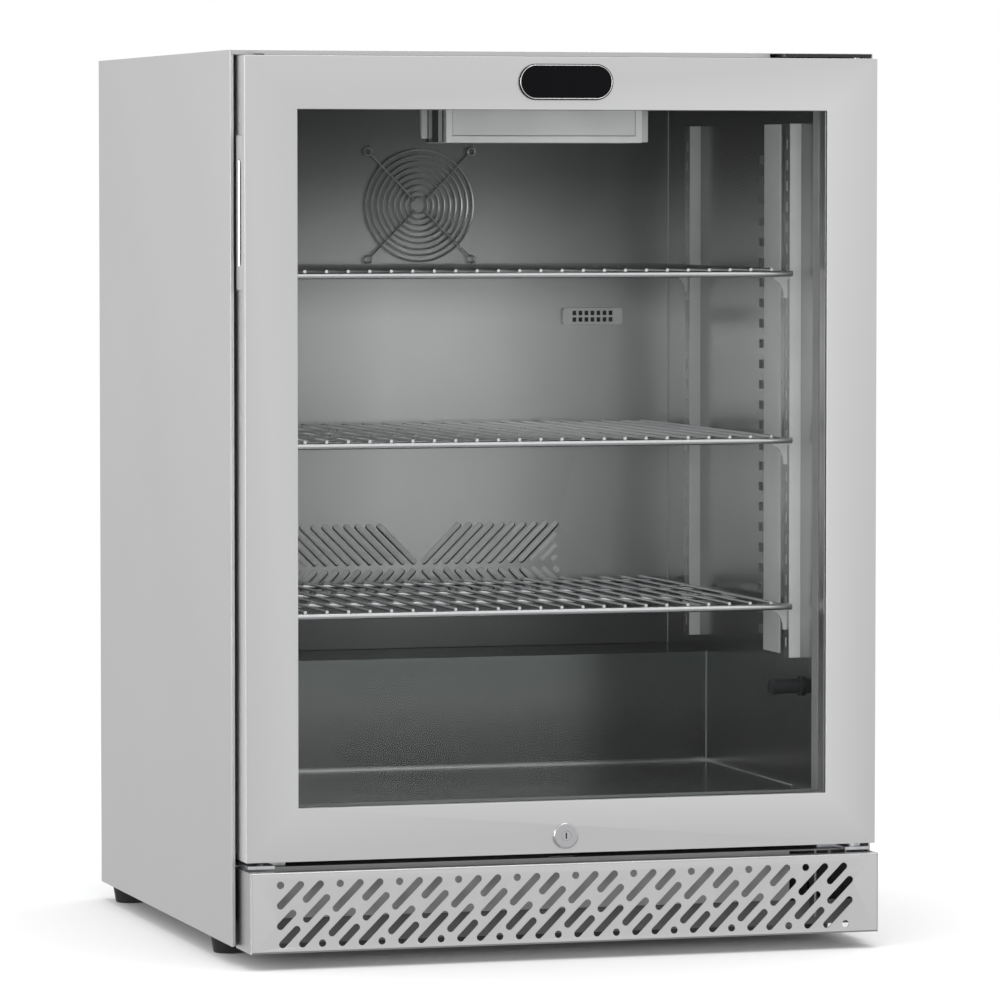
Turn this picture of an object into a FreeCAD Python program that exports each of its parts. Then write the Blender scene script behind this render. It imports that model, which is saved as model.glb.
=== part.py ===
"""Under counter fridge with one glass door: a stainless cabinet, its shelves, its cooling machine
and its ventilated kick grille.

Frame: +X to the fridge's right as seen from the front, +Y towards its back, +Z up. The origin is on
the floor, at the middle of the width and of the whole depth. Millimetres throughout.
"""
import FreeCAD, Part

import math
import os

V = FreeCAD.Vector

# ---------------------------------------------------------------- driving dimensions: cabinet
WIDTH = 600.0
HEIGHT = 810.0
CABINET_DEPTH = 525.0      # side panel, front edge to back
FOOT_HEIGHT = 17.0         # floor to the underside of the cabinet
GRILLE_PROUD = 41.0        # grille front ahead of the side panels
SHEET = 1.0                # cabinet sheet metal
HEM = 1.8                  # folded double edge of a side panel
HEM_DEPTH = 12.0
SIDE_WALL = 46.0           # insulated walls, outside face to inside face
TOP_WALL = 42.0
BACK_WALL = 33.0
FLOOR_WALL = 40.0
BAY_HEIGHT = 80.0          # machine bay under the floor
REAR_BAY_DEPTH = 151.0     # taller bay at the back, for the compressor
REAR_BAY_HEIGHT = 187.0
STEP_WALL = 38.0           # insulation over the rear bay
EVAPORATOR_DEPTH = 37.0    # space between the evaporator cover and the liner's back
FIT_GAP = 0.05             # between fixed pieces that seat in one another
RUNNING_GAP = 0.05         # radial, between a turning or sliding piece and its bore

# ---------------------------------------------------------------- driving dimensions: door
DOOR_SIDE_GAP = 5.9
DOOR_TOP_GAP = 5.2
DOOR_BOTTOM_GAP = 7.9      # between the grille's top and the door
DOOR_PROUD = 29.0          # door front ahead of the side panels
DOOR_THICKNESS = 39.0
DOOR_SHEET = 1.2
STILE = 47.7               # door frame beside the glass
RAIL = 47.0                # door frame above and below the glass
PANE = 4.0
PANE_SPACE = 14.0
PANE_OVERLAP = 6.0         # pane hidden behind the frame, each side
GASKET_WIDTH = 22.0
GASKET_THICKNESS = 11.5    # gasket standing off the door's back
GASKET_CLEARANCE = 0.5
WINDOW_RETURN = 1.6        # wall of the inner frame around the window
HINGE_INSET = 22.0         # hinge axis from the cabinet's side
HINGE_BACK = 13.0          # hinge axis behind the door's front face
GASKET_PAST_HINGE = 4.0    # gasket's outer edge beyond the hinge axis
PIN_RADIUS = 3.5
BUSH_RADIUS = 6.0
BUSH_LENGTH = 20.0
PIN_ENGAGEMENT = 17.0
HINGE_PLATE = 3.0

# ---------------------------------------------------------------- driving dimensions: door fittings
GRIP_LENGTH = 136.0
GRIP_WIDTH = 20.0
GRIP_DEPTH = 26.0
GRIP_TOP = 70.0            # below the door's top
GRIP_SETBACK = 20.0        # grip's middle behind the door's front
GRIP_SLOT_LENGTH = 94.0
GRIP_SLOT_WIDTH = 14.0
GRIP_FLOOR = 2.5
BADGE_LENGTH = 87.4
BADGE_HEIGHT = 32.0
BADGE_THICKNESS = 2.0
BADGE_RIM = 1.5
BADGE_RAISE = 1.2          # badge's middle above the middle of the top rail
LOCK_RISE = 15.7           # lock axis above the door's bottom
LOCK_FLANGE_RADIUS = 11.7
LOCK_FLANGE_THICKNESS = 3.0
LOCK_BARREL_RADIUS = 9.0
LOCK_BARREL_LENGTH = 28.0
LOCK_PLUG_RADIUS = 4.45
CAM_WIDTH = 11.0
CAM_THICKNESS = 2.0
CAM_DROP = 10.8            # how far the turned cam reaches below the door
CAM_ROOM = 1.6             # free space around the cam
CAM_GAP = 0.4              # cam behind the barrel's end

# ---------------------------------------------------------------- driving dimensions: kick grille
GRILLE_SIDE_GAP = 6.7
GRILLE_BOTTOM = 14.8
GRILLE_HEIGHT = 71.6
GRILLE_SHEET = 1.2
GRILLE_RETURN = 46.0
GRILLE_FLANGE = 12.0
SLOT_WIDTH = 6.6
SLOT_UNIT = 54.4           # one repeat of three slanted lines
SLOT_MARGIN = 27.2         # plain metal beside the pattern
SLOT_TOP_MARGIN = 11.0
SLOT_RUN = 52.4            # height of the pattern, dot centre to dot centre
RAIL_SETBACK = 33.0        # front rail behind the grille's front
RAIL_TOP_GAP = 6.3         # rail's top below the door
RAIL_HEIGHT = 46.0
RAIL_RIGHT_END = 74.0      # rail stops short of the right side
POST_GAP = 24.0            # end post past the rail's end
POST_SIZE = (2.0, 14.0, 62.0)
TRAY_TURN_UP = 22.0        # front edge of the bottom tray above its underside
HEM_ROOM = 0.5             # free space behind the side panels' hems

# ---------------------------------------------------------------- driving dimensions: interior
SHELF_COUNT = 3
SHELF_CLEARANCE = 40.0     # least room between the bottom shelf and the step
TOP_SHELF_DROP = 158.0     # below the ceiling
SHELF_END_GAP = 3.0        # rod ends to the standards' faces
SHELF_FRONT_SETBACK = 26.0 # behind the gasket land
SHELF_REAR_GAP = 15.0      # in front of the evaporator cover
SHELF_ROD_RADIUS = 3.0
SHELF_SIDE_RADIUS = 2.5
SHELF_WIRE_RADIUS = 1.5
SHELF_WIRE_PITCH = 20.0
WELD_BITE = 0.6
STANDARD_WIDTH = 15.5
STANDARD_PROUD = 11.0
STANDARD_SHEET = 1.0
STANDARD_SETBACK = 41.0    # front standard behind the gasket land
STANDARD_REAR_OFFSET = 20.0  # rear standard behind the step's front
STANDARD_TOP_GAP = 21.0
STANDARD_BOTTOM_GAP = 15.0 # above the step
STANDARD_SLOT_PITCH = 19.05
STANDARD_SLOT = (3.2, 9.0)
CLIP_WIDTH = 12.0
CLIP_RIB = 3.0
CLIP_REACH = 15.0
CLIP_HEIGHT = 20.0
LIGHT_HALF_WIDTH = 92.0
LIGHT_HEIGHT = 39.0
LIGHT_DEPTH = 66.0
LIGHT_SETBACK = 14.0       # behind the gasket land
LIGHT_FRAME = 6.0
LIGHT_WALL = 3.0
FAN_DROP = 97.0            # evaporator fan axis below the ceiling
FAN_HOLE_RADIUS = 54.0
GUARD_RINGS = 9
GUARD_WIRE_RADIUS = 1.0
GUARD_INNER_RADIUS = 8.0
GUARD_OUTER_RADIUS = 54.0
GUARD_SCREW_OFFSET = 52.0
GUARD_STANDOFF = 4.0
GUARD_LOOP_RADIUS = 3.6    # screw loops at the spokes' ends
COIL_SIZE = (380.0, 26.0, 150.0)
COIL_ROWS = 6
COIL_FINS = 20
COIL_TUBE_RADIUS = 4.0
COIL_GAP = 64.0            # coil below the fan
COIL_SETBACK = 17.0        # coil's middle behind the cover
PIPE_RISE = 30.0           # pipes' entry above the coil's middle
PIPE_SETBACK = 14.0        # pipes in the back wall, ahead of the back sheet
PIPE_INSET = 30.0          # pipes' entry from the side walls
VENT_PITCH = 11.0
VENT_WIDTH = 5.4
VENT_HALF_SPAN = 148.0
VENT_RISE = 40.0
VENT_FROM_STEP = 81.0
VENT_ROW_GAP = 4.0
PROBE_CENTRE_X = 174.5
PROBE_DROP = 205.0         # below the ceiling
PROBE_SIZE = (61.0, 6.0, 16.0)
PEG_RADIUS = 6.75
PEG_LENGTH = 30.0
PEG_SETBACK = 38.0         # behind the gasket land
PEG_RISE = 94.0            # above the floor of the compartment

# ---------------------------------------------------------------- driving dimensions: feet and machine
FOOT_INSET_X = 22.0
FOOT_FRONT = 98.0          # front feet behind the side panels' front edge
FOOT_BACK = 32.0           # rear feet ahead of the back
FOOT_TOP_RADIUS = 17.5
FOOT_BOTTOM_RADIUS = 14.5
FOOT_EDGE = 1.5
STUD_RADIUS = 4.0
STUD_LENGTH = 28.0
BOSS_RADIUS = 8.0
BOSS_HEIGHT = 12.0
TRAY_SHEET = 1.5
COMPRESSOR_RADIUS = 62.0
COMPRESSOR_HEIGHT = 125.0
COMPRESSOR_X = -130.0
COMPRESSOR_PLATE = (176.0, 112.0, 2.5)
MOUNT_SPACING = (76.0, 44.0)  # rubber mounts from the compressor's middle
MOUNT_HEIGHT = 9.5
MOUNT_RADIUS = 9.0
FAN_SIZE = 120.0
FAN_DEPTH = 25.0
SHAFT_RADIUS = 1.5
COPPER_RADIUS = 3.0
DRIER_TOP = 170.0          # drier's top end above the cabinet's underside
DRIER_RADIUS = 8.0
DRIER_NECK_RADIUS = 2.6
DRIER_CONE = 14.0
DRIER_LENGTH = 78.0
CONDENSER_X = 215.0
CONDENSER_SIZE = (44.0, 120.0, 150.0)
CONDENSER_FINS = 14
CONDENSER_BENDS = 24.0     # length kept for the tubes' return bends
CONDENSER_FAN_GAP = 6.0    # fan to condenser
CONDENSER_FAN_RISE = 18.0  # fan above the tray
TRAY_WALL = 1.6            # drip tray
TRAY_DEPTH = 28.0
TRAY_GAPS = (22.0, 16.0)   # drip tray to the bay's front, and to its back and the fan
INLET_HALF = (24.0, 14.0)  # power inlet, half width and half height
INLET_DEPTH = 22.0
INLET_INSET = 10.0         # inlet's middle inboard of the compartment's side
INLET_RISE = 60.0
BLADE_SIZE = (2.0, 13.0, 5.0)
REAR_SLOT_RADIUS = 2.5
REAR_SLOT_PITCH = 16.0
REAR_SLOT_COUNT = 22
REAR_SLOT_ROWS = ((36.0, 82.0), (104.0, 150.0))  # above the cabinet's underside
SCREW_HEAD_RADIUS = 3.6
SCREW_SHANK_RADIUS = 1.6
BACK_SCREW_INSET = 12.0    # back screws from the side sheets
BACK_SCREW_LENGTH = 9.0
HINGE_SCREW_DROP = 5.0     # top plate's screws below the door's top
HINGE_SCREW_XS = (60.0, 35.0, 10.0)  # inboard of the hinge axis
HINGE_ARM = 9.0            # hinge plates' reach ahead of the axis
HINGE_PLATE_LEFT = 70.0    # top plate inboard of the axis
HINGE_PLATE_RIGHT = 12.0
HINGE_LEG_DROP = 9.0       # top plate's leg below the door's top
BRACKET_INNER = 28.0       # bottom brackets about the axis
BRACKET_OUTER = 13.0
BRACKET_TONGUE = 11.0
BRACKET_BACK = 0.5         # bottom brackets ahead of the gasket land
BRACKET_FRONT = 18.0
PLUG_CAP_RADIUS = 5.0
PLUG_STEM_RADIUS = 3.0
PLUG_STEM_LENGTH = 8.0

# ---------------------------------------------------------------- places worked out from them
HALF = WIDTH / 2
FRONT = GRILLE_PROUD - (CABINET_DEPTH + GRILLE_PROUD) / 2
BACK = FRONT + CABINET_DEPTH
GRILLE_FRONT = FRONT - GRILLE_PROUD
BASE = FOOT_HEIGHT
INSIDE = HALF - SHEET
ROOM = HALF - SIDE_WALL
CEILING = HEIGHT - TOP_WALL
BAY_TOP = BASE + BAY_HEIGHT
FLOOR = BAY_TOP + FLOOR_WALL
LINER_BACK = BACK - BACK_WALL
REAR_BAY_FRONT = BACK - SHEET - REAR_BAY_DEPTH
REAR_BAY_TOP = BASE + REAR_BAY_HEIGHT
STEP_FRONT = REAR_BAY_FRONT - STEP_WALL
STEP_TOP = REAR_BAY_TOP + STEP_WALL
COVER = LINER_BACK - EVAPORATOR_DEPTH
GRILLE_TOP = GRILLE_BOTTOM + GRILLE_HEIGHT
GRILLE_HALF = HALF - GRILLE_SIDE_GAP
DOOR_HALF = HALF - DOOR_SIDE_GAP
DOOR_TOP = HEIGHT - DOOR_TOP_GAP
DOOR_BOTTOM = GRILLE_TOP + DOOR_BOTTOM_GAP
DOOR_FRONT = FRONT - DOOR_PROUD
DOOR_BACK = DOOR_FRONT + DOOR_THICKNESS
LAND = DOOR_BACK + GASKET_THICKNESS + GASKET_CLEARANCE
WINDOW_HALF = DOOR_HALF - STILE
WINDOW_BOTTOM = DOOR_BOTTOM + RAIL
WINDOW_TOP = DOOR_TOP - RAIL
OUTER_PANE = DOOR_FRONT + DOOR_SHEET
SPACER = OUTER_PANE + PANE
INNER_PANE = SPACER + PANE_SPACE
PANES_BACK = INNER_PANE + PANE
HINGE_X = HALF - HINGE_INSET
HINGE_Y = DOOR_FRONT + HINGE_BACK
GASKET_HALF = HINGE_X + GASKET_PAST_HINGE
GRIP_Y = DOOR_FRONT + GRIP_SETBACK
GRIP_Z = DOOR_TOP - GRIP_TOP - GRIP_LENGTH / 2
LOCK_Z = DOOR_BOTTOM + LOCK_RISE
CAM_BACK = DOOR_FRONT + LOCK_BARREL_LENGTH + CAM_GAP + CAM_THICKNESS
CAM_REACH = LOCK_RISE + CAM_DROP
BADGE_Z = DOOR_TOP - RAIL / 2 + BADGE_RAISE
RAIL_TOP = DOOR_BOTTOM - RAIL_TOP_GAP
RAIL_FACE = GRILLE_FRONT + RAIL_SETBACK
SHELF_TOP_Z = CEILING - TOP_SHELF_DROP
SHELF_FRONT_Y = LAND + SHELF_FRONT_SETBACK
SHELF_REAR_Y = COVER - SHELF_REAR_GAP
STANDARD_YS = (LAND + STANDARD_SETBACK, STEP_FRONT + STANDARD_REAR_OFFSET)
STANDARD_FACE = ROOM - STANDARD_PROUD
SHELF_HALF_WIDTH = STANDARD_FACE - SHELF_END_GAP
SHELF_STEPS = int((SHELF_TOP_Z - STEP_TOP - SHELF_CLEARANCE) / (SHELF_COUNT - 1) / STANDARD_SLOT_PITCH)
SHELF_PITCH = STANDARD_SLOT_PITCH * SHELF_STEPS
FAN_Z = CEILING - FAN_DROP
LIGHT_FRONT = LAND + LIGHT_SETBACK
FOOT_PLACES = {
    "foot_front_left": (-(HALF - FOOT_INSET_X), FRONT + FOOT_FRONT),
    "foot_front_right": (HALF - FOOT_INSET_X, FRONT + FOOT_FRONT),
    "foot_rear_left": (-(HALF - FOOT_INSET_X), BACK - FOOT_BACK),
    "foot_rear_right": (HALF - FOOT_INSET_X, BACK - FOOT_BACK),
}
REAR_BAY_MIDDLE = REAR_BAY_FRONT + REAR_BAY_DEPTH / 2
CONDENSER_FAN_X = CONDENSER_X - CONDENSER_SIZE[0] / 2 - CONDENSER_FAN_GAP - FAN_DEPTH
CONDENSER_FAN_Z = BASE + TRAY_SHEET + CONDENSER_FAN_RISE + FAN_SIZE / 2


# ---------------------------------------------------------------- shape helpers
def box(x0, x1, y0, y1, z0, z1):
    """Block between three pairs of limits."""
    return Part.makeBox(x1 - x0, y1 - y0, z1 - z0, V(x0, y0, z0))


def ring_box(half_out, half_in, y0, y1, z0, z1, sill, head):
    """Rectangular frame about X = 0: outer half width and z0..z1, opening half width and sill..head."""
    outer = box(-half_out, half_out, y0, y1, z0, z1)
    return outer.cut(box(-half_in, half_in, y0 - 1, y1 + 1, sill, head))


def rod(radius, start, end):
    """Round bar between two points."""
    a = V(*start)
    way = V(*end) - a
    return Part.makeCylinder(radius, way.Length, a, way)


def fuse(shapes):
    """One shape out of several that touch or overlap."""
    joined = shapes[0].multiFuse(shapes[1:]) if len(shapes) > 1 else shapes[0]
    return joined.removeSplitter()


def mirrored(shape):
    """The same shape on the other side of X = 0."""
    return shape.mirror(V(0, 0, 0), V(1, 0, 0))


def prism(points, along):
    """Solid from a closed outline of points, pushed along a vector."""
    corners = [V(*p) for p in points]
    return Part.Face(Part.makePolygon(corners + corners[:1])).extrude(V(*along))


def slot_cutter(x0, z0, x1, z1, radius, y0, y1):
    """Round-ended slot through a sheet that stands across Y, between two end centres."""
    if math.hypot(x1 - x0, z1 - z0) < 1e-6:
        return rod(radius, (x0, y0, z0), (x0, y1, z0))
    way = V(x1 - x0, 0, z1 - z0).normalize()
    side = V(-way.z, 0, way.x) * radius
    a = V(x0, y0, z0)
    b = V(x1, y0, z1)
    outline = Part.Wire([
        Part.LineSegment(a + side, b + side).toShape(),
        Part.Arc(b + side, b + way * radius, b - side).toShape(),
        Part.LineSegment(b - side, a - side).toShape(),
        Part.Arc(a - side, a - way * radius, a + side).toShape(),
    ])
    return Part.Face(outline).extrude(V(0, y1 - y0, 0))


def bent_rod(radius, points, bend):
    """Round bar along straight runs joined by tangent arcs of one bend radius."""
    places = [V(*p) for p in points]
    edges = []
    start = places[0]
    for before, corner, after in zip(places, places[1:], places[2:]):
        way_in = (corner - before).normalize()
        way_out = (after - corner).normalize()
        half_turn = way_in.getAngle(way_out) / 2
        reach = bend * math.tan(half_turn)
        enter = corner - way_in * reach
        leave = corner + way_out * reach
        towards = (way_out - way_in).normalize()
        middle = corner + towards * (bend / math.cos(half_turn) - bend)
        edges.append(Part.LineSegment(start, enter).toShape())
        edges.append(Part.Arc(enter, middle, leave).toShape())
        start = leave
    edges.append(Part.LineSegment(start, places[-1]).toShape())
    path = Part.Wire(edges)
    section = Part.Wire(Part.makeCircle(radius, places[0], places[1] - places[0]))
    return path.makePipeShell([section], True, False)


def turned(shape, axis, degrees, centre=(0, 0, 0)):
    """Copy of a shape turned about an axis."""
    copy = shape.copy()
    copy.rotate(V(*centre), V(*axis), degrees)
    return copy


def moved(shape, x, y, z):
    """Copy of a shape moved by a vector."""
    copy = shape.copy()
    copy.translate(V(x, y, z))
    return copy


def save(node, shapes):
    """Write one node's solids to parts/NODE.step, and report a shape that isn't sound."""
    solids = [solid for shape in shapes for solid in shape.Solids]
    for solid in solids:
        if not solid.isValid() or solid.Volume <= 0:
            print("unsound solid in", node)
    whole = solids[0] if len(solids) == 1 else Part.makeCompound(solids)
    whole.exportStep("parts/" + node + ".step")
    print(f"{node:24s} solids {len(solids):3d} volume {sum(s.Volume for s in solids) / 1000:10.2f} cm3")


# ---------------------------------------------------------------- cabinet shell
def back_screw_places():
    """Centres of the screws on the back, as (x, z)."""
    column = INSIDE - BACK_SCREW_INSET
    rows = [BASE + 30.0, REAR_BAY_TOP - 12.0, REAR_BAY_TOP + 14.0, HEIGHT - 16.0]
    rows.append((REAR_BAY_TOP + HEIGHT) / 2)
    return [(side * column, z) for side in (-1, 1) for z in rows] + [(0.0, REAR_BAY_TOP + 14.0)]


def screw_shanks(extra=0.0):
    """Shanks of the back screws, or the holes for them with something extra."""
    radius = SCREW_SHANK_RADIUS + extra
    return [rod(radius, (x, BACK - SHEET - BACK_SCREW_LENGTH, z), (x, BACK, z))
            for x, z in back_screw_places()]


def make_panel_screws():
    """Countersunk screws of the back panel and vent cover, heads flush with the sheet."""
    screws = []
    for (x, z), shank in zip(back_screw_places(), screw_shanks()):
        head = rod(SCREW_HEAD_RADIUS, (x, BACK - SHEET, z), (x, BACK, z))
        recess = box(x - 0.5, x + 0.5, BACK - 0.6, BACK + 1, z - 2.4, z + 2.4)
        cross = turned(recess, (0, 1, 0), 90, (x, 0, z))
        screws.append(head.fuse(shank).cut(recess).cut(cross))
    return screws


def screw_holes():
    """Holes for the back screws' heads."""
    radius = SCREW_HEAD_RADIUS + FIT_GAP
    return [rod(radius, (x, BACK - SHEET - 1, z), (x, BACK + 1, z)) for x, z in back_screw_places()]


def make_side_panel():
    """Right side panel: plain sheet with a folded front edge."""
    sheet = box(INSIDE, HALF, FRONT, BACK, BASE, HEIGHT)
    hem = box(HALF - HEM, INSIDE, FRONT, FRONT + HEM_DEPTH, BASE, HEIGHT)
    return fuse([sheet, hem])


def make_top_panel():
    """Top sheet between the side panels, with a front lip that clears the hinge plate."""
    edge = HALF - HEM - FIT_GAP
    sheet = box(-INSIDE, INSIDE, FRONT + HEM_DEPTH + FIT_GAP, BACK - SHEET, HEIGHT - SHEET, HEIGHT)
    apron = box(-edge, edge, FRONT, FRONT + HEM_DEPTH + FIT_GAP, HEIGHT - SHEET, HEIGHT)
    lip = box(-edge, HINGE_X - 76.0, FRONT, FRONT + SHEET, HEIGHT - DOOR_TOP_GAP + 0.8, HEIGHT - SHEET)
    return fuse([sheet, apron, lip])


def make_back_panel():
    """Upper back sheet."""
    sheet = box(-INSIDE, INSIDE, BACK - SHEET, BACK, REAR_BAY_TOP, HEIGHT)
    return sheet.cut(screw_holes())


def make_base_tray():
    """Bottom tray with a turned-up front edge and a threaded boss over each foot."""
    front = FRONT + HEM_DEPTH + HEM_ROOM
    pieces = [
        box(-INSIDE, INSIDE, front, BACK - SHEET, BASE, BASE + TRAY_SHEET),
        box(-INSIDE, INSIDE, front, front + TRAY_SHEET, BASE + TRAY_SHEET, BASE + TRAY_TURN_UP),
    ]
    for x, y in FOOT_PLACES.values():
        pieces.append(rod(BOSS_RADIUS, (x, y, BASE), (x, y, BASE + TRAY_SHEET + BOSS_HEIGHT)))
    bores = []
    for x, y in FOOT_PLACES.values():
        bores.append(rod(STUD_RADIUS + RUNNING_GAP, (x, y, BASE - 1), (x, y, BASE + BAY_HEIGHT / 2)))
    return fuse(pieces).cut(bores)


def make_divider():
    """Folded sheet between the machine bay and the insulation."""
    front = LAND + SHEET
    low = box(-INSIDE, INSIDE, front, REAR_BAY_FRONT, BAY_TOP, BAY_TOP + SHEET)
    rise = box(-INSIDE, INSIDE, REAR_BAY_FRONT - SHEET, REAR_BAY_FRONT, BAY_TOP, REAR_BAY_TOP)
    high = box(-INSIDE, INSIDE, REAR_BAY_FRONT, BACK - SHEET, REAR_BAY_TOP - SHEET, REAR_BAY_TOP)
    return fuse([low, rise, high]).cut(suction_line(FIT_GAP)).cut(liquid_line(FIT_GAP))


def cavity(grow):
    """The cooled space, stepped over the rear bay, grown by a wall thickness."""
    front = LAND + SHEET
    tall = box(-ROOM - grow, ROOM + grow, front, STEP_FRONT + grow, FLOOR - grow, CEILING + grow)
    over = box(-ROOM - grow, ROOM + grow, front, LINER_BACK + grow, STEP_TOP - grow, CEILING + grow)
    return fuse([tall, over])


def peg_hole(extra):
    """Fixing hole of the sensor peg in the right wall."""
    y = LAND + PEG_SETBACK
    z = FLOOR + PEG_RISE
    return rod(2.5 + extra, (ROOM - 1, y, z), (ROOM + 9.0, y, z))


def make_liner():
    """Inner tub, open at the front, with holes for the sensor and the refrigerant lines."""
    deep = box(-ROOM, ROOM, LAND, STEP_FRONT, FLOOR, CEILING)
    over = box(-ROOM, ROOM, LAND, LINER_BACK, STEP_TOP, CEILING)
    tub = cavity(SHEET).cut([deep, over])
    return tub.cut([peg_hole(FIT_GAP), suction_line(FIT_GAP), liquid_line(FIT_GAP)])


def make_foam():
    """Insulation that fills the walls between the liner and the outer sheets."""
    front = LAND + SHEET
    block = box(-INSIDE, INSIDE, front, BACK - SHEET, BAY_TOP + SHEET, HEIGHT - SHEET)
    step = box(-INSIDE, INSIDE, REAR_BAY_FRONT - SHEET, BACK, BAY_TOP, REAR_BAY_TOP)
    hollow = block.cut([cavity(SHEET), step])
    cutters = screw_shanks(FIT_GAP) + [peg_hole(FIT_GAP), suction_line(FIT_GAP), liquid_line(FIT_GAP)]
    cutters += hinge_screw_shanks(FIT_GAP)
    return hollow.cut(cutters)


def make_front_frame():
    """Flat steel frame that the door gasket closes on."""
    frame = ring_box(INSIDE, ROOM, LAND, LAND + SHEET, BAY_TOP, HEIGHT - SHEET, FLOOR, CEILING)
    return frame.cut(hinge_screw_shanks(FIT_GAP))


def make_front_rail():
    """Rail behind the kick grille: a face plate, a top flange with the lock's slot, and an end post."""
    right = GRILLE_HALF - RAIL_RIGHT_END
    left = GRILLE_HALF - GRILLE_SHEET - 1.0
    face = box(-left, right, RAIL_FACE, RAIL_FACE + SHEET, RAIL_TOP - RAIL_HEIGHT, RAIL_TOP)
    flange = box(-left, left, RAIL_FACE, LAND, RAIL_TOP - GRILLE_SHEET, RAIL_TOP)
    ears = box(-INSIDE, INSIDE, FRONT + HEM_DEPTH + HEM_ROOM, LAND, RAIL_TOP - GRILLE_SHEET, RAIL_TOP)
    post_x = right + POST_GAP
    wide, deep, tall = POST_SIZE
    post = box(post_x, post_x + wide, RAIL_FACE, RAIL_FACE + deep, RAIL_TOP - tall, RAIL_TOP)
    return fuse([face, flange, ears, post]).cut([cam_pocket()] + bracket_screw_holes())


# ---------------------------------------------------------------- kick grille
def slot_lines():
    """Slots of one repeat: for each of its three lines, (start, end) measured down from the top."""
    return (
        ((0.0, 0.0), (12.4, 30.6), (39.6, SLOT_RUN)),
        ((0.0, 21.8), (30.8, SLOT_RUN)),
        ((0.0, 12.8), (25.2, 43.6), (SLOT_RUN, SLOT_RUN)),
    )


def grille_cutters():
    """Slanted slots and dots of the kick grille, kept inside its plain margins."""
    edge = GRILLE_HALF - SLOT_MARGIN
    radius = SLOT_WIDTH / 2
    pitch = SLOT_UNIT / 3
    top = GRILLE_TOP - SLOT_TOP_MARGIN
    lines = int((2 * edge + SLOT_RUN) / pitch) + 1
    cutters = []
    for index in range(lines):
        line_x = index * pitch - edge
        for start, end in slot_lines()[index % 3]:
            first = max(start, line_x - edge)
            last = min(end, line_x + edge)
            is_dot = start == end
            if first > last or (not is_dot and last - first < SLOT_WIDTH):
                continue
            cutters.append(slot_cutter(line_x - first, top - first, line_x - last, top - last,
                                       radius, GRILLE_FRONT - 1, GRILLE_FRONT + GRILLE_SHEET + 1))
    return cutters


def make_kick_grille():
    """Ventilated front grille: slotted face, deep side returns and short top and bottom flanges."""
    sheet = GRILLE_SHEET
    deep = GRILLE_FRONT + GRILLE_RETURN
    short = GRILLE_FRONT + GRILLE_FLANGE
    face = box(-GRILLE_HALF, GRILLE_HALF, GRILLE_FRONT, GRILLE_FRONT + sheet, GRILLE_BOTTOM, GRILLE_TOP)
    pieces = [face]
    for side in (-1, 1):
        x = sorted((side * GRILLE_HALF, side * (GRILLE_HALF - sheet)))
        pieces.append(box(x[0], x[1], GRILLE_FRONT, deep, GRILLE_BOTTOM, GRILLE_TOP))
    for z in (GRILLE_BOTTOM, GRILLE_TOP - sheet):
        pieces.append(box(-GRILLE_HALF, GRILLE_HALF, GRILLE_FRONT, short, z, z + sheet))
    return fuse(pieces).cut(grille_cutters())


# ---------------------------------------------------------------- hinges
def hinge_screw_shanks(extra=0.0):
    """Screws of the top hinge plate, into the cabinet's front frame."""
    z = DOOR_TOP - HINGE_SCREW_DROP
    radius = SCREW_SHANK_RADIUS + extra
    return [rod(radius, (x, LAND - HINGE_PLATE + 0.5, z), (x, LAND + 12.0, z))
            for x in (HINGE_X - inboard for inboard in HINGE_SCREW_XS)]


def bracket_screw_places():
    """Centres of the screws that hold the two bottom brackets, as (x, y)."""
    return [(side * x, LAND - 9.0) for side in (-1, 1) for x in (HINGE_X - 13.0, HINGE_X + 3.0)]


def bracket_screw_holes():
    """Clearance holes for the bottom brackets' screws."""
    radius = SCREW_SHANK_RADIUS + FIT_GAP
    return [rod(radius, (x, y, RAIL_TOP - 12.0), (x, y, RAIL_TOP + 6.0))
            for x, y in bracket_screw_places()]


def make_hinge_screws():
    """Screws of the top plate and of the two bottom brackets."""
    screws = []
    z = DOOR_TOP - HINGE_SCREW_DROP
    for shank in hinge_screw_shanks():
        x = shank.BoundBox.Center.x
        head = rod(SCREW_HEAD_RADIUS, (x, LAND - HINGE_PLATE - 1.6, z), (x, LAND - HINGE_PLATE + 0.6, z))
        screws.append(head.fuse(shank))
    top = RAIL_TOP + HINGE_PLATE
    for x, y in bracket_screw_places():
        head = rod(SCREW_HEAD_RADIUS, (x, y, top), (x, y, top + 2.0))
        shank = rod(SCREW_SHANK_RADIUS, (x, y, RAIL_TOP - 8.0), (x, y, top))
        screws.append(head.fuse(shank))
    return screws


def make_top_hinge_plate():
    """Bent plate: a leg on the cabinet's front frame, an arm over the door's top corner."""
    low = DOOR_TOP + 1.0
    high = HEIGHT - SHEET - 0.2
    left = HINGE_X - HINGE_PLATE_LEFT
    right = HINGE_X + HINGE_PLATE_RIGHT
    screws_z = DOOR_TOP - HINGE_SCREW_DROP
    arm = box(left, right, HINGE_Y - HINGE_ARM, LAND, low, high)
    leg = box(left, right, LAND - HINGE_PLATE + 0.5, LAND, DOOR_TOP - HINGE_LEG_DROP, low)
    bore = rod(PIN_RADIUS, (HINGE_X, HINGE_Y, low - 1), (HINGE_X, HINGE_Y, high + 1))
    heads = [rod(SCREW_HEAD_RADIUS + 0.2, (HINGE_X - inboard, LAND - HINGE_PLATE - 3, screws_z),
                 (HINGE_X - inboard, LAND - HINGE_PLATE + 0.6, screws_z))
             for inboard in HINGE_SCREW_XS]
    return fuse([arm, leg]).cut([bore] + heads + hinge_screw_shanks(FIT_GAP))


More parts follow.
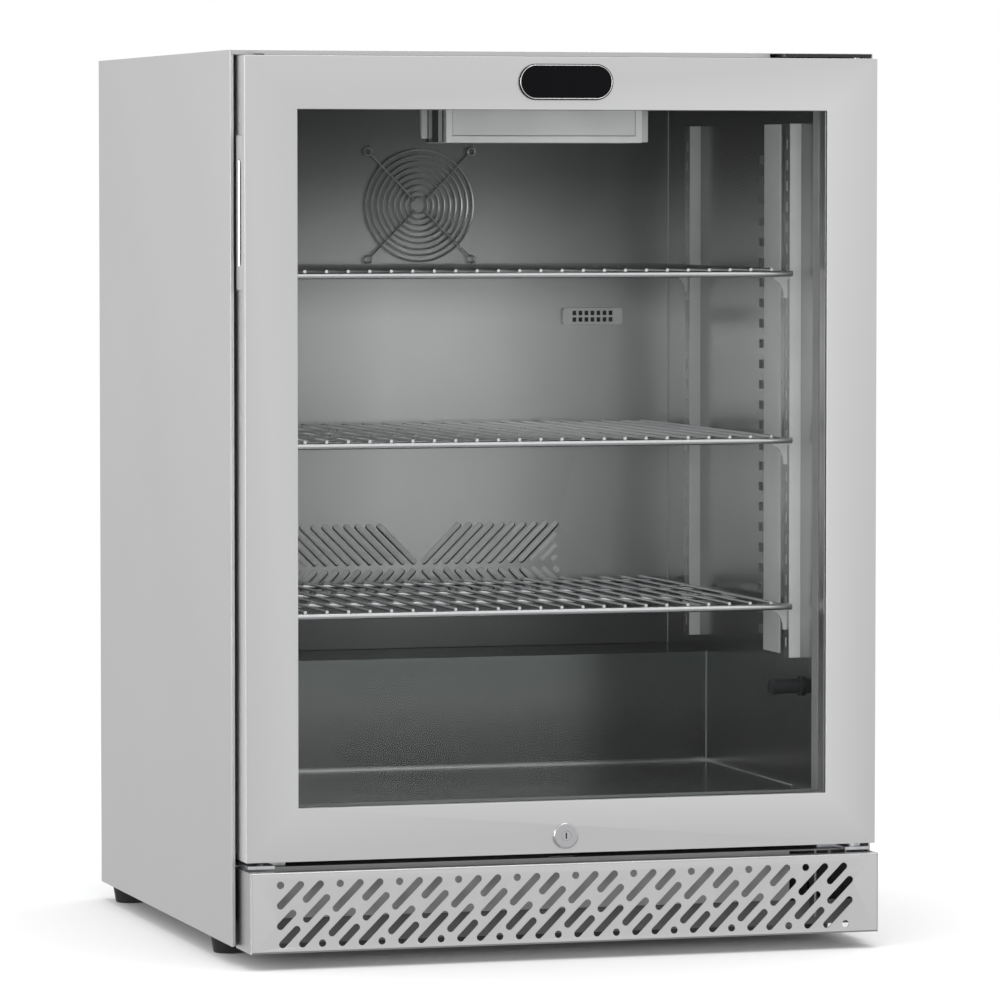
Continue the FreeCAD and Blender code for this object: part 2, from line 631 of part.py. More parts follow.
def make_bottom_bracket(side):
    """Plate on the front rail that reaches under the door's corner on one side."""
    inner = HINGE_X - BRACKET_INNER
    outer = HINGE_X + BRACKET_OUTER
    x = sorted((side * inner, side * outer))
    tongue = sorted((side * (HINGE_X - BRACKET_TONGUE), side * outer))
    neck = LAND - BRACKET_FRONT
    base = box(x[0], x[1], neck, LAND - BRACKET_BACK, RAIL_TOP, RAIL_TOP + HINGE_PLATE)
    arm = box(tongue[0], tongue[1], HINGE_Y - HINGE_ARM, neck, RAIL_TOP, RAIL_TOP + HINGE_PLATE)
    bore = rod(PIN_RADIUS, (side * HINGE_X, HINGE_Y, RAIL_TOP - 1), (side * HINGE_X, HINGE_Y, DOOR_BOTTOM))
    return fuse([base, arm]).cut([bore] + bracket_screw_holes())


def make_hinge_pins():
    """Top pin, and bottom pin with the shoulder that the door stands on."""
    axis = (HINGE_X, HINGE_Y)
    top = rod(PIN_RADIUS, (*axis, DOOR_TOP - PIN_ENGAGEMENT), (*axis, HEIGHT - SHEET - 0.2))
    bottom = rod(PIN_RADIUS, (*axis, RAIL_TOP), (*axis, DOOR_BOTTOM + PIN_ENGAGEMENT))
    shoulder = rod(BUSH_RADIUS, (*axis, RAIL_TOP + HINGE_PLATE), (*axis, DOOR_BOTTOM - 0.2))
    return [top, bottom.fuse(shoulder)]


def make_hinge_bushes():
    """Plain bushes pressed into the door's top and bottom edges."""
    bushes = []
    for low in (DOOR_TOP - BUSH_LENGTH, DOOR_BOTTOM):
        sleeve = rod(BUSH_RADIUS, (HINGE_X, HINGE_Y, low), (HINGE_X, HINGE_Y, low + BUSH_LENGTH))
        bore = rod(PIN_RADIUS + RUNNING_GAP, (HINGE_X, HINGE_Y, low - 1),
                   (HINGE_X, HINGE_Y, low + BUSH_LENGTH + 1))
        bushes.append(sleeve.cut(bore))
    return bushes


def make_hole_plugs():
    """Caps in the unused left-hand hinge holes of the door."""
    plugs = []
    for base, way in ((DOOR_TOP, 1), (DOOR_BOTTOM, -1)):
        cap = rod(PLUG_CAP_RADIUS, (-HINGE_X, HINGE_Y, base), (-HINGE_X, HINGE_Y, base + way * 1.5))
        stem = rod(PLUG_STEM_RADIUS, (-HINGE_X, HINGE_Y, base),
                   (-HINGE_X, HINGE_Y, base - way * PLUG_STEM_LENGTH))
        plugs.append(cap.fuse(stem))
    return plugs


def bush_holes(extra=0.0):
    """Room for the bushes and the plugs in the door's edges."""
    holes = []
    for low in (DOOR_TOP - BUSH_LENGTH, DOOR_BOTTOM):
        holes.append(rod(BUSH_RADIUS + extra, (HINGE_X, HINGE_Y, low - 1),
                         (HINGE_X, HINGE_Y, low + BUSH_LENGTH + 1)))
    for base, way in ((DOOR_TOP, 1), (DOOR_BOTTOM, -1)):
        holes.append(rod(PLUG_STEM_RADIUS + extra, (-HINGE_X, HINGE_Y, base + way),
                         (-HINGE_X, HINGE_Y, base - way * (PLUG_STEM_LENGTH + 1.0))))
    return holes


# ---------------------------------------------------------------- door
def grip_block(extra):
    """Outer block of the recessed grip in the door's left edge."""
    return box(-DOOR_HALF - (1 if extra else 0), -DOOR_HALF + GRIP_DEPTH + extra,
               GRIP_Y - GRIP_WIDTH / 2 - extra, GRIP_Y + GRIP_WIDTH / 2 + extra,
               GRIP_Z - GRIP_LENGTH / 2 - extra, GRIP_Z + GRIP_LENGTH / 2 + extra)


def make_handle_grip():
    """Recessed finger grip: a block with a deep round-ended slot."""
    radius = GRIP_SLOT_WIDTH / 2
    reach = GRIP_SLOT_LENGTH / 2 - radius
    slot = slot_cutter(0.0, GRIP_Z - reach, 0.0, GRIP_Z + reach, radius, 0.0, GRIP_DEPTH)
    slot = turned(slot, (0, 0, 1), -90)
    return grip_block(0.0).cut(moved(slot, -DOOR_HALF - GRIP_FLOOR, GRIP_Y, 0.0))


def lock_hole(extra):
    """Room for the lock's barrel."""
    return rod(LOCK_BARREL_RADIUS + extra, (0, DOOR_FRONT - 1, LOCK_Z),
               (0, DOOR_FRONT + LOCK_BARREL_LENGTH + extra, LOCK_Z))


def cam_pocket():
    """Room for the lock cam to turn from sideways to straight down, inside the door and below it."""
    half = CAM_WIDTH / 2 + CAM_ROOM
    reach = CAM_REACH + CAM_ROOM
    y0 = CAM_BACK - CAM_THICKNESS - CAM_ROOM
    y1 = CAM_BACK + CAM_ROOM
    sweep = rod(reach, (0, y0, LOCK_Z), (0, y1, LOCK_Z))
    quarter = box(-half, reach, y0, y1, LOCK_Z - reach, LOCK_Z + half)
    return sweep.common(quarter)


def make_door_frame():
    """Outer skin of the door: front sheet with the window and four edges turned back."""
    skin = box(-DOOR_HALF, DOOR_HALF, DOOR_FRONT, DOOR_BACK, DOOR_BOTTOM, DOOR_TOP)
    inner = DOOR_HALF - DOOR_SHEET
    hollow = box(-inner, inner, OUTER_PANE, DOOR_BACK + 1, DOOR_BOTTOM + DOOR_SHEET, DOOR_TOP - DOOR_SHEET)
    window = box(-WINDOW_HALF, WINDOW_HALF, DOOR_FRONT - 1, OUTER_PANE + 1, WINDOW_BOTTOM, WINDOW_TOP)
    cutters = [hollow, window, grip_block(FIT_GAP), lock_hole(FIT_GAP), cam_pocket()]
    return skin.cut(cutters + bush_holes(FIT_GAP))


def glass_stack():
    """Block taken up by the two panes and their spacer."""
    half = WINDOW_HALF + PANE_OVERLAP
    return box(-half, half, OUTER_PANE, PANES_BACK, WINDOW_BOTTOM - PANE_OVERLAP, WINDOW_TOP + PANE_OVERLAP)


def make_pane(front):
    """One pane of the door's glass, edges a little inside the stack."""
    half = WINDOW_HALF + PANE_OVERLAP - FIT_GAP
    return box(-half, half, front, front + PANE, WINDOW_BOTTOM - PANE_OVERLAP + FIT_GAP,
               WINDOW_TOP + PANE_OVERLAP - FIT_GAP)


def make_glass_spacer():
    """Spacer frame between the panes, flush with the window's edge."""
    return ring_box(WINDOW_HALF + PANE_OVERLAP - FIT_GAP, WINDOW_HALF, SPACER, INNER_PANE,
                    WINDOW_BOTTOM - PANE_OVERLAP + FIT_GAP, WINDOW_TOP + PANE_OVERLAP - FIT_GAP,
                    WINDOW_BOTTOM, WINDOW_TOP)


def make_door_liner():
    """Back cover of the door: a flat ring with a return that holds the inner pane."""
    inner = DOOR_HALF - DOOR_SHEET - FIT_GAP
    low = DOOR_BOTTOM + DOOR_SHEET + FIT_GAP
    high = DOOR_TOP - DOOR_SHEET - FIT_GAP
    ring = ring_box(inner, WINDOW_HALF, DOOR_BACK - DOOR_SHEET, DOOR_BACK, low, high,
                    WINDOW_BOTTOM, WINDOW_TOP)
    wall = WINDOW_RETURN
    lip = ring_box(WINDOW_HALF + wall, WINDOW_HALF, PANES_BACK, DOOR_BACK - DOOR_SHEET,
                   WINDOW_BOTTOM - wall, WINDOW_TOP + wall, WINDOW_BOTTOM, WINDOW_TOP)
    return fuse([ring, lip])


def make_door_foam():
    """Insulation inside the door's frame."""
    inner = DOOR_HALF - DOOR_SHEET - FIT_GAP
    block = box(-inner, inner, OUTER_PANE, DOOR_BACK - DOOR_SHEET, DOOR_BOTTOM + DOOR_SHEET + FIT_GAP,
                DOOR_TOP - DOOR_SHEET - FIT_GAP)
    wall = WINDOW_RETURN
    window = box(-WINDOW_HALF - wall, WINDOW_HALF + wall, DOOR_FRONT, DOOR_BACK,
                 WINDOW_BOTTOM - wall, WINDOW_TOP + wall)
    cutters = [glass_stack(), window, grip_block(FIT_GAP), lock_hole(FIT_GAP), cam_pocket()]
    return block.cut(cutters + bush_holes(FIT_GAP))


def make_gasket():
    """Magnetic door gasket: a frame with a hollow bulb between door and cabinet."""
    inner = GASKET_HALF - GASKET_WIDTH
    low = FLOOR - (inner - ROOM) - GASKET_WIDTH
    high = CEILING + (inner - ROOM) + GASKET_WIDTH
    foot = ring_box(GASKET_HALF, inner, DOOR_BACK, DOOR_BACK + 2.5, low, high,
                    low + GASKET_WIDTH, high - GASKET_WIDTH)
    step = 3.0
    bulb = ring_box(GASKET_HALF - step, inner + step, DOOR_BACK + 2.5, LAND - GASKET_CLEARANCE,
                    low + step, high - step, low + GASKET_WIDTH - step, high - GASKET_WIDTH + step)
    return fuse([foot, bulb])


def make_badge():
    """Plain oval badge plate with a raised rim."""
    reach = (BADGE_LENGTH - BADGE_HEIGHT) / 2
    plate = slot_cutter(-reach, BADGE_Z, reach, BADGE_Z, BADGE_HEIGHT / 2,
                        DOOR_FRONT - BADGE_THICKNESS, DOOR_FRONT)
    dish = slot_cutter(-reach, BADGE_Z, reach, BADGE_Z, BADGE_HEIGHT / 2 - BADGE_RIM,
                       DOOR_FRONT - BADGE_THICKNESS - 1, DOOR_FRONT - BADGE_THICKNESS + 0.5)
    return plate.cut(dish)


def make_lock_body():
    """Lock housing: round flange on the door's face and a barrel through it."""
    front = DOOR_FRONT - LOCK_FLANGE_THICKNESS
    flange = rod(LOCK_FLANGE_RADIUS, (0, front, LOCK_Z), (0, DOOR_FRONT, LOCK_Z))
    rim = [edge for edge in flange.Edges
           if abs(edge.BoundBox.YMin - front) < 1e-3 and abs(edge.BoundBox.YMax - front) < 1e-3]
    flange = flange.makeFillet(min(1.4, LOCK_FLANGE_THICKNESS * 0.45), rim)
    barrel = rod(LOCK_BARREL_RADIUS, (0, DOOR_FRONT, LOCK_Z), (0, DOOR_FRONT + LOCK_BARREL_LENGTH, LOCK_Z))
    bore = rod(LOCK_PLUG_RADIUS + RUNNING_GAP, (0, front - 1, LOCK_Z),
               (0, DOOR_FRONT + LOCK_BARREL_LENGTH + 1, LOCK_Z))
    return fuse([flange, barrel]).cut(bore)


def make_lock_cam():
    """Key plug with the cam on its inner end, cam lying sideways: unlocked."""
    front = DOOR_FRONT - LOCK_FLANGE_THICKNESS
    plug = rod(LOCK_PLUG_RADIUS, (0, front, LOCK_Z), (0, CAM_BACK, LOCK_Z))
    cam = slot_cutter(0, LOCK_Z, CAM_REACH - CAM_WIDTH / 2, LOCK_Z, CAM_WIDTH / 2,
                      CAM_BACK - CAM_THICKNESS, CAM_BACK)
    keyway = box(-0.6, 0.6, front - 1, front + 8.0, LOCK_Z - 2.6, LOCK_Z + 2.6)
    return fuse([plug, cam]).cut(keyway)


# ---------------------------------------------------------------- interior fittings
def shelf_heights():
    """Height of each shelf's rods, top shelf first."""
    return [SHELF_TOP_Z - SHELF_PITCH * index for index in range(SHELF_COUNT)]


def make_shelf():
    """Wire shelf about z = 0: four edge rods, two cross rods, and wires laid over them."""
    side = SHELF_HALF_WIDTH - SHELF_SIDE_RADIUS - 1.5
    ends = SHELF_HALF_WIDTH
    over = SHELF_ROD_RADIUS + SHELF_WIRE_RADIUS - WELD_BITE
    rods = [
        rod(SHELF_ROD_RADIUS, (-ends, SHELF_FRONT_Y, 0), (ends, SHELF_FRONT_Y, 0)),
        rod(SHELF_ROD_RADIUS, (-ends, SHELF_REAR_Y, 0), (ends, SHELF_REAR_Y, 0)),
    ]
    for x in (-side, side):
        rods.append(rod(SHELF_SIDE_RADIUS, (x, SHELF_FRONT_Y, 0), (x, SHELF_REAR_Y, 0)))
    depth = SHELF_REAR_Y - SHELF_FRONT_Y
    cross_z = over - SHELF_WIRE_RADIUS - SHELF_SIDE_RADIUS + WELD_BITE
    for share in (0.36, 0.68):
        y = SHELF_FRONT_Y + depth * share
        rods.append(rod(SHELF_SIDE_RADIUS, (-side, y, cross_z), (side, y, cross_z)))
    count = int((side - SHELF_WIRE_PITCH / 2) / SHELF_WIRE_PITCH)
    for index in range(-count, count + 1):
        x = index * SHELF_WIRE_PITCH
        rods.append(rod(SHELF_WIRE_RADIUS, (x, SHELF_FRONT_Y - 1.0, over), (x, SHELF_REAR_Y + 1.0, over)))
    return fuse(rods)


def make_standards():
    """Four slotted uprights, two on each side wall."""
    low = STEP_TOP + STANDARD_BOTTOM_GAP
    high = CEILING - STANDARD_TOP_GAP
    uprights = []
    for y in STANDARD_YS:
        solid = box(STANDARD_FACE, ROOM, y, y + STANDARD_WIDTH, low, high)
        hollow = box(STANDARD_FACE + STANDARD_SHEET, ROOM + 1, y + STANDARD_SHEET,
                     y + STANDARD_WIDTH - STANDARD_SHEET, low - 1, high + 1)
        wide, tall = STANDARD_SLOT
        middle = y + STANDARD_WIDTH / 2
        slots = []
        z = low + STANDARD_SLOT_PITCH / 2
        while z + tall < high:
            slots.append(box(STANDARD_FACE - 1, STANDARD_FACE + STANDARD_SHEET + 1,
                             middle - wide / 2, middle + wide / 2, z, z + tall))
            z += STANDARD_SLOT_PITCH
        upright = solid.cut([hollow] + slots)
        uprights += [upright, mirrored(upright)]
    return uprights


def make_clips():
    """Shelf clips: a tongue under the shelf's side rod, a curved rib and a small stop."""
    side = SHELF_HALF_WIDTH - SHELF_SIDE_RADIUS - 1.5
    clips = []
    for y in STANDARD_YS:
        middle = y + STANDARD_WIDTH / 2
        for z in shelf_heights():
            top = z - SHELF_SIDE_RADIUS - 0.1
            outer = STANDARD_FACE
            inner = outer - CLIP_REACH
            tongue = box(inner, outer, middle - CLIP_WIDTH / 2, middle + CLIP_WIDTH / 2, top - 2.5, top)
            stop_face = side - SHELF_SIDE_RADIUS - 0.6
            stop = box(inner, stop_face, middle - CLIP_WIDTH / 2, middle + CLIP_WIDTH / 2, top, top + 2.2)
            web = box(inner, outer, middle - CLIP_RIB / 2, middle + CLIP_RIB / 2,
                      top - CLIP_HEIGHT, top - 2.5)
            sweep = rod(CLIP_HEIGHT - 2.5, (inner, middle - CLIP_RIB, top - CLIP_HEIGHT),
                        (inner, middle + CLIP_RIB, top - CLIP_HEIGHT))
            squash = FreeCAD.Matrix()
            squash.move(V(-inner, 0, 0))
            squash.scale((CLIP_REACH - 3.0) / (CLIP_HEIGHT - 2.5), 1.0, 1.0)
            squash.move(V(inner, 0, 0))
            rib = web.cut(sweep.transformGeometry(squash))
            clip = fuse([tongue, stop, rib])
            clips += [clip, mirrored(clip)]
    return clips


def light_shell():
    """Outer block of the light box under the ceiling."""
    return box(-LIGHT_HALF_WIDTH, LIGHT_HALF_WIDTH, LIGHT_FRONT, LIGHT_FRONT + LIGHT_DEPTH,
               CEILING - LIGHT_HEIGHT, CEILING)


def make_light_housing():
    """Light box housing: framed front opening, thin walls, and a wider mounting flange at its back."""
    back = LIGHT_FRONT + LIGHT_DEPTH
    low = CEILING - LIGHT_HEIGHT
    flange = box(-LIGHT_HALF_WIDTH - 6, LIGHT_HALF_WIDTH + 6, back - 6, back, low + 4, CEILING)
    opening = box(-LIGHT_HALF_WIDTH + LIGHT_FRAME, LIGHT_HALF_WIDTH - LIGHT_FRAME,
                  LIGHT_FRONT - 1, LIGHT_FRONT + LIGHT_WALL, low + LIGHT_FRAME, CEILING - LIGHT_FRAME)
    hollow = box(-LIGHT_HALF_WIDTH + LIGHT_WALL, LIGHT_HALF_WIDTH - LIGHT_WALL,
                 LIGHT_FRONT + LIGHT_WALL, back - LIGHT_WALL, low + LIGHT_WALL, CEILING - LIGHT_WALL)
    return fuse([light_shell(), flange]).cut([opening, hollow])


def make_light_diffuser():
    """Pale lens set in the light box's front opening."""
    low = CEILING - LIGHT_HEIGHT
    step = 0.3
    lens = box(-LIGHT_HALF_WIDTH + LIGHT_FRAME + step, LIGHT_HALF_WIDTH - LIGHT_FRAME - step,
               LIGHT_FRONT + 1.0, LIGHT_FRONT + LIGHT_WALL, low + LIGHT_FRAME + step,
               CEILING - LIGHT_FRAME - step)
    edge = LIGHT_WALL + FIT_GAP
    flange = box(-LIGHT_HALF_WIDTH + edge, LIGHT_HALF_WIDTH - edge, LIGHT_FRONT + LIGHT_WALL,
                 LIGHT_FRONT + LIGHT_WALL + 1.6, low + edge, CEILING - edge)
    return fuse([lens, flange])


def make_led_board():
    """Lamp board behind the lens: a strip with a row of raised lamps."""
    low = CEILING - LIGHT_HEIGHT + LIGHT_FRAME + 2
    high = CEILING - LIGHT_FRAME - 2
    y = LIGHT_FRONT + 22.0
    half = LIGHT_HALF_WIDTH - LIGHT_WALL - FIT_GAP
    pieces = [box(-half, half, y, y + 1.6, low, high)]
    lamps = 9
    pitch = 2 * (half - 10.0) / (lamps - 1)
    for index in range(lamps):
        x = index * pitch - (half - 10.0)
        pieces.append(box(x - 2.5, x + 2.5, y - 1.2, y, (low + high) / 2 - 2.5, (low + high) / 2 + 2.5))
    return fuse(pieces)


def make_control_module():
    """Temperature controller in the back of the light box."""
    half = LIGHT_HALF_WIDTH / 2
    low = CEILING - LIGHT_HEIGHT + LIGHT_WALL + FIT_GAP
    body = box(-half, half, LIGHT_FRONT + 30.0, LIGHT_FRONT + LIGHT_DEPTH - LIGHT_WALL - 2, low, low + 24.0)
    plug = box(-14, 14, LIGHT_FRONT + 34.0, LIGHT_FRONT + 44.0, low + 24.0, low + 30.0)
    return fuse([body, plug])


def make_sensor_peg():
    """Round sensor housing that stands out of the right wall."""
    y = LAND + PEG_SETBACK
    z = FLOOR + PEG_RISE
    tip = ROOM - PEG_LENGTH
    pieces = [
        rod(PEG_RADIUS, (tip, y, z), (ROOM, y, z)),
        rod(PEG_RADIUS + 0.8, (tip + 1.0, y, z), (tip + 5.0, y, z)),
        rod(PEG_RADIUS + 2.5, (ROOM - 2.5, y, z), (ROOM, y, z)),
        rod(2.5, (ROOM, y, z), (ROOM + 8.0, y, z)),
    ]
    return fuse(pieces)


# ---------------------------------------------------------------- evaporator compartment
def cover_vents():
    """Slanted return-air slots in the evaporator cover: one row leaning out, one leaning back."""
    radius = VENT_WIDTH / 2
    low = STEP_TOP + VENT_FROM_STEP
    cutters = []
    count = int((VENT_HALF_SPAN - VENT_RISE) / VENT_PITCH)
    run = VENT_RISE - VENT_WIDTH
    for index in range(count + 1):
        x = VENT_PITCH / 2 + index * VENT_PITCH
        for side in (-1, 1):
            z = low + radius
            cutters.append(slot_cutter(side * x, z, side * (x + run), z + run, radius, COVER - 1, COVER + 3))
            z = low - VENT_ROW_GAP - radius
            cutters.append(slot_cutter(side * x, z, side * (x + run / 2), z - run / 2, radius,
                                       COVER - 1, COVER + 3))
    return cutters


def make_evaporator_cover():
    """Sheet in front of the evaporator, with the fan hole and the return-air slots."""
    gap = 0.5
    half = ROOM - gap
    face = box(-half, half, COVER, COVER + SHEET, STEP_TOP + gap, CEILING - gap)
    sides = [box(x, x + SHEET, COVER + SHEET, LINER_BACK - gap, STEP_TOP + gap, CEILING - gap)
             for x in (-half, half - SHEET)]
    hole = rod(FAN_HOLE_RADIUS, (0, COVER - 1, FAN_Z), (0, COVER + 3, FAN_Z))
    return fuse([face] + sides).cut([hole] + cover_vents())


def make_fan_guard():
    """Wire fan guard: rings held by four diagonal spokes that end in screw loops."""
    rings_y = COVER - GUARD_STANDOFF
    pieces = []
    step = (GUARD_OUTER_RADIUS - GUARD_INNER_RADIUS) / (GUARD_RINGS - 1)
    for index in range(GUARD_RINGS):
        radius = GUARD_INNER_RADIUS + index * step
        pieces.append(Part.makeTorus(radius, GUARD_WIRE_RADIUS, V(0, rings_y, FAN_Z), V(0, 1, 0)))
    spoke_y = rings_y + GUARD_WIRE_RADIUS * 1.3
    reach = math.hypot(GUARD_SCREW_OFFSET, GUARD_SCREW_OFFSET)
    for corner in range(4):
        angle = math.radians(45 + 90 * corner)
        way = (math.cos(angle), math.sin(angle))
        start = (way[0] * (GUARD_INNER_RADIUS - 1), spoke_y, FAN_Z + way[1] * (GUARD_INNER_RADIUS - 1))
        end = (way[0] * (reach - GUARD_LOOP_RADIUS), spoke_y, FAN_Z + way[1] * (reach - GUARD_LOOP_RADIUS))
        pieces.append(rod(GUARD_WIRE_RADIUS, start, end))
        centre = V(way[0] * reach, spoke_y, FAN_Z + way[1] * reach)
        pieces.append(Part.makeTorus(GUARD_LOOP_RADIUS, GUARD_WIRE_RADIUS, centre, V(0, 1, 0)))
    return fuse(pieces)


def make_fan_frame():
    """Square fan frame about the origin, axis +Y, with the motor held by four struts."""
    half = FAN_SIZE / 2
    hole = half - 4.0
    frame = box(-half, half, 0, FAN_DEPTH, -half, half)
    frame = frame.cut(rod(hole, (0, -1, 0), (0, FAN_DEPTH + 1, 0)))
    motor_front = FAN_DEPTH - 7.0
    pieces = [frame, rod(17.0, (0, motor_front, 0), (0, FAN_DEPTH, 0))]
    for corner in range(4):
        strut = box(15.0, hole + 3.0, motor_front + 1.5, FAN_DEPTH, -2.5, 2.5)
        pieces.append(turned(strut, (0, 1, 0), 45 + 90 * corner))
    bore = rod(SHAFT_RADIUS + RUNNING_GAP, (0, motor_front - 1, 0), (0, FAN_DEPTH - 1.0, 0))
    return fuse(pieces).cut(bore)


def make_fan_rotor():
    """Fan wheel about the origin, axis +Y: hub, seven pitched blades and the shaft."""
    tip = FAN_SIZE / 2 - 5.5
    front = 3.0
    hub_back = FAN_DEPTH - 8.0
    hub = rod(18.0, (0, front, 0), (0, hub_back, 0))
    middle = (front + hub_back) / 2
    chord = (hub_back - front) * 1.45
    blade = box(16.0, tip + 4.0, -0.8, 0.8, -chord / 2, chord / 2)
    blade = moved(turned(blade, (1, 0, 0), 38), 0, middle, 0)
    blade = blade.common(rod(tip, (0, front, 0), (0, hub_back, 0)))
    blades = [turned(blade, (0, 1, 0), 360.0 / 7 * index) for index in range(7)]
    shaft = rod(SHAFT_RADIUS, (0, hub_back, 0), (0, FAN_DEPTH - 1.5, 0))
    return fuse([hub, shaft] + blades)


def serpentine(length, rows, pitch, radius, at_y):
    """Tube that runs to and fro along X, one row above the other, about the origin."""
    points = []
    for row in range(rows):
        z = (row - (rows - 1) / 2) * pitch
        ends = (-length / 2, length / 2) if row % 2 == 0 else (length / 2, -length / 2)
        points += [(x, at_y, z) for x in ends]
    return bent_rod(radius, points, pitch * 0.46)


def make_coil(length, depth, height, rows, fins, radius):
    """Finned coil about the origin: two serpentine tubes through a row of thin fins."""
    pitch = height / rows
    overhang = pitch * 0.9
    tubes = [serpentine(length + 2 * overhang, rows, pitch, radius, y) for y in (-depth / 4, depth / 4)]
    plates = []
    step = length / (fins - 1)
    for index in range(fins):
        x = index * step - length / 2
        plates.append(box(x - 0.3, x + 0.3, -depth / 2, depth / 2, -height / 2, height / 2))
    return fuse(tubes + plates)


def coil_place():
    """Centre of the evaporator coil: low behind its cover."""
    return (0.0, COVER + SHEET + COIL_SETBACK, FAN_Z - FAN_SIZE / 2 - COIL_GAP - COIL_SIZE[2] / 2)


def suction_line(extra):
    """Return line from the evaporator to the compressor, down through the back insulation."""
    x = -ROOM + PIPE_INSET
    y_in = coil_place()[1] + 6.0
    y_wall = BACK - SHEET - PIPE_SETBACK
    z_in = coil_place()[2] + PIPE_RISE
    low = BASE + 95.0
    shell = COMPRESSOR_X - COMPRESSOR_RADIUS
    points = [(x, y_in, z_in), (x, y_wall, z_in), (x, y_wall, low), (x, REAR_BAY_MIDDLE, low),
              (shell, REAR_BAY_MIDDLE, low)]
    return bent_rod(COPPER_RADIUS + extra, points, 9.0)


def drier_place():
    """Top end of the filter drier, beside the condenser at the back of the machine bay."""
    x = (CONDENSER_X + CONDENSER_SIZE[0] / 2 + INSIDE) / 2
    return (x, BACK - SHEET - PIPE_SETBACK, BASE + DRIER_TOP)


def liquid_line(extra):
    """Thin feed line from the filter drier up to the evaporator."""
    x_in = ROOM - PIPE_INSET
    y_in = coil_place()[1] + 6.0
    z_in = coil_place()[2] + PIPE_RISE
    x, y_wall, top = drier_place()
    z_turn = REAR_BAY_TOP + 24.0
    points = [(x_in, y_in, z_in), (x_in, y_wall, z_in), (x_in, y_wall, z_turn), (x, y_wall, z_turn),
              (x, y_wall, top)]
    return bent_rod(COPPER_RADIUS * 0.6 + extra, points, 9.0)


def make_copper_lines():
    """Suction line, feed line, and the hot line from the compressor to the condenser."""
    compressor_top = BASE + TRAY_SHEET + MOUNT_HEIGHT + COMPRESSOR_PLATE[2] + COMPRESSOR_HEIGHT
    start_x = COMPRESSOR_X + COMPRESSOR_RADIUS * 0.6
    y = REAR_BAY_MIDDLE - 50.0
    high = REAR_BAY_TOP - SHEET - 8.0
    hot = [(start_x, REAR_BAY_MIDDLE, compressor_top - 3.0), (start_x, REAR_BAY_MIDDLE, high),
           (start_x + 30.0, y, high), (CONDENSER_X, y, high),
           (CONDENSER_X, y, CONDENSER_FAN_Z + CONDENSER_SIZE[2] / 2)]
    lines = [suction_line(0.0), liquid_line(0.0), bent_rod(COPPER_RADIUS, hot, 7.0)]
    return [line.cut(make_compressor()) for line in lines]


def make_filter_drier():
    """Copper filter drier standing at the back of the machine bay."""
    x, y, top = drier_place()
    wide, narrow = DRIER_RADIUS, DRIER_NECK_RADIUS
    high = top - DRIER_CONE
    low = high - DRIER_LENGTH
    body = rod(wide, (x, y, low), (x, y, high))
    neck = Part.makeCone(wide, narrow, DRIER_CONE, V(x, y, high), V(0, 0, 1))
    tail = Part.makeCone(wide, narrow, DRIER_CONE, V(x, y, low), V(0, 0, -1))
    return fuse([body, neck, tail])


# ---------------------------------------------------------------- machine bay
def make_compressor():
    """Hermetic compressor: welded shell, base plate and terminal box."""
    low = BASE + TRAY_SHEET + MOUNT_HEIGHT
    wide, deep, thick = COMPRESSOR_PLATE
    plate = box(COMPRESSOR_X - wide / 2, COMPRESSOR_X + wide / 2, REAR_BAY_MIDDLE - deep / 2,
                REAR_BAY_MIDDLE + deep / 2, low, low + thick)
    shell = rod(COMPRESSOR_RADIUS, (COMPRESSOR_X, REAR_BAY_MIDDLE, low + thick),
                (COMPRESSOR_X, REAR_BAY_MIDDLE, low + thick + COMPRESSOR_HEIGHT))
    rims = [edge for edge in shell.Edges if isinstance(edge.Curve, Part.Circle)]
    shell = shell.makeFillet(COMPRESSOR_RADIUS * 0.42, rims)
    middle = low + thick + COMPRESSOR_HEIGHT / 2
    seam = rod(COMPRESSOR_RADIUS + 2.5, (COMPRESSOR_X, REAR_BAY_MIDDLE, middle - 2),
               (COMPRESSOR_X, REAR_BAY_MIDDLE, middle + 2))
    inner = COMPRESSOR_X + COMPRESSOR_RADIUS - 8.0
    terminals = box(inner, inner + 26.0, REAR_BAY_MIDDLE - 24, REAR_BAY_MIDDLE + 24, middle - 38, middle - 6)
    legs = rod(COMPRESSOR_RADIUS * 0.7, (COMPRESSOR_X, REAR_BAY_MIDDLE, low),
               (COMPRESSOR_X, REAR_BAY_MIDDLE, low + 12.0))
    return fuse([plate, shell, seam, terminals, legs])


def make_compressor_mounts():
    """Four rubber grommets between the compressor's plate and the tray."""
    low = BASE + TRAY_SHEET
    return [rod(MOUNT_RADIUS, (COMPRESSOR_X + dx, REAR_BAY_MIDDLE + dy, low),
                (COMPRESSOR_X + dx, REAR_BAY_MIDDLE + dy, low + MOUNT_HEIGHT))
            for dx in (-MOUNT_SPACING[0], MOUNT_SPACING[0])
            for dy in (-MOUNT_SPACING[1], MOUNT_SPACING[1])]


def make_condenser():
    """Finned condenser beside its fan."""
    depth, length, height = CONDENSER_SIZE
    coil = make_coil(length - CONDENSER_BENDS, depth, height, COIL_ROWS, CONDENSER_FINS, COIL_TUBE_RADIUS)
    coil = turned(coil, (0, 0, 1), 90)
    return moved(coil, CONDENSER_X, REAR_BAY_MIDDLE, CONDENSER_FAN_Z)


def to_condenser_fan(shape):
    """Move a fan piece from the origin to the condenser's fan, axis along +X."""
    return moved(turned(shape, (0, 0, 1), -90), CONDENSER_FAN_X, REAR_BAY_MIDDLE, CONDENSER_FAN_Z)


def to_evaporator_fan(shape):
    """Move a fan piece from the origin to the evaporator's fan, axis along +Y."""
    return moved(shape, 0, COVER + SHEET, FAN_Z)


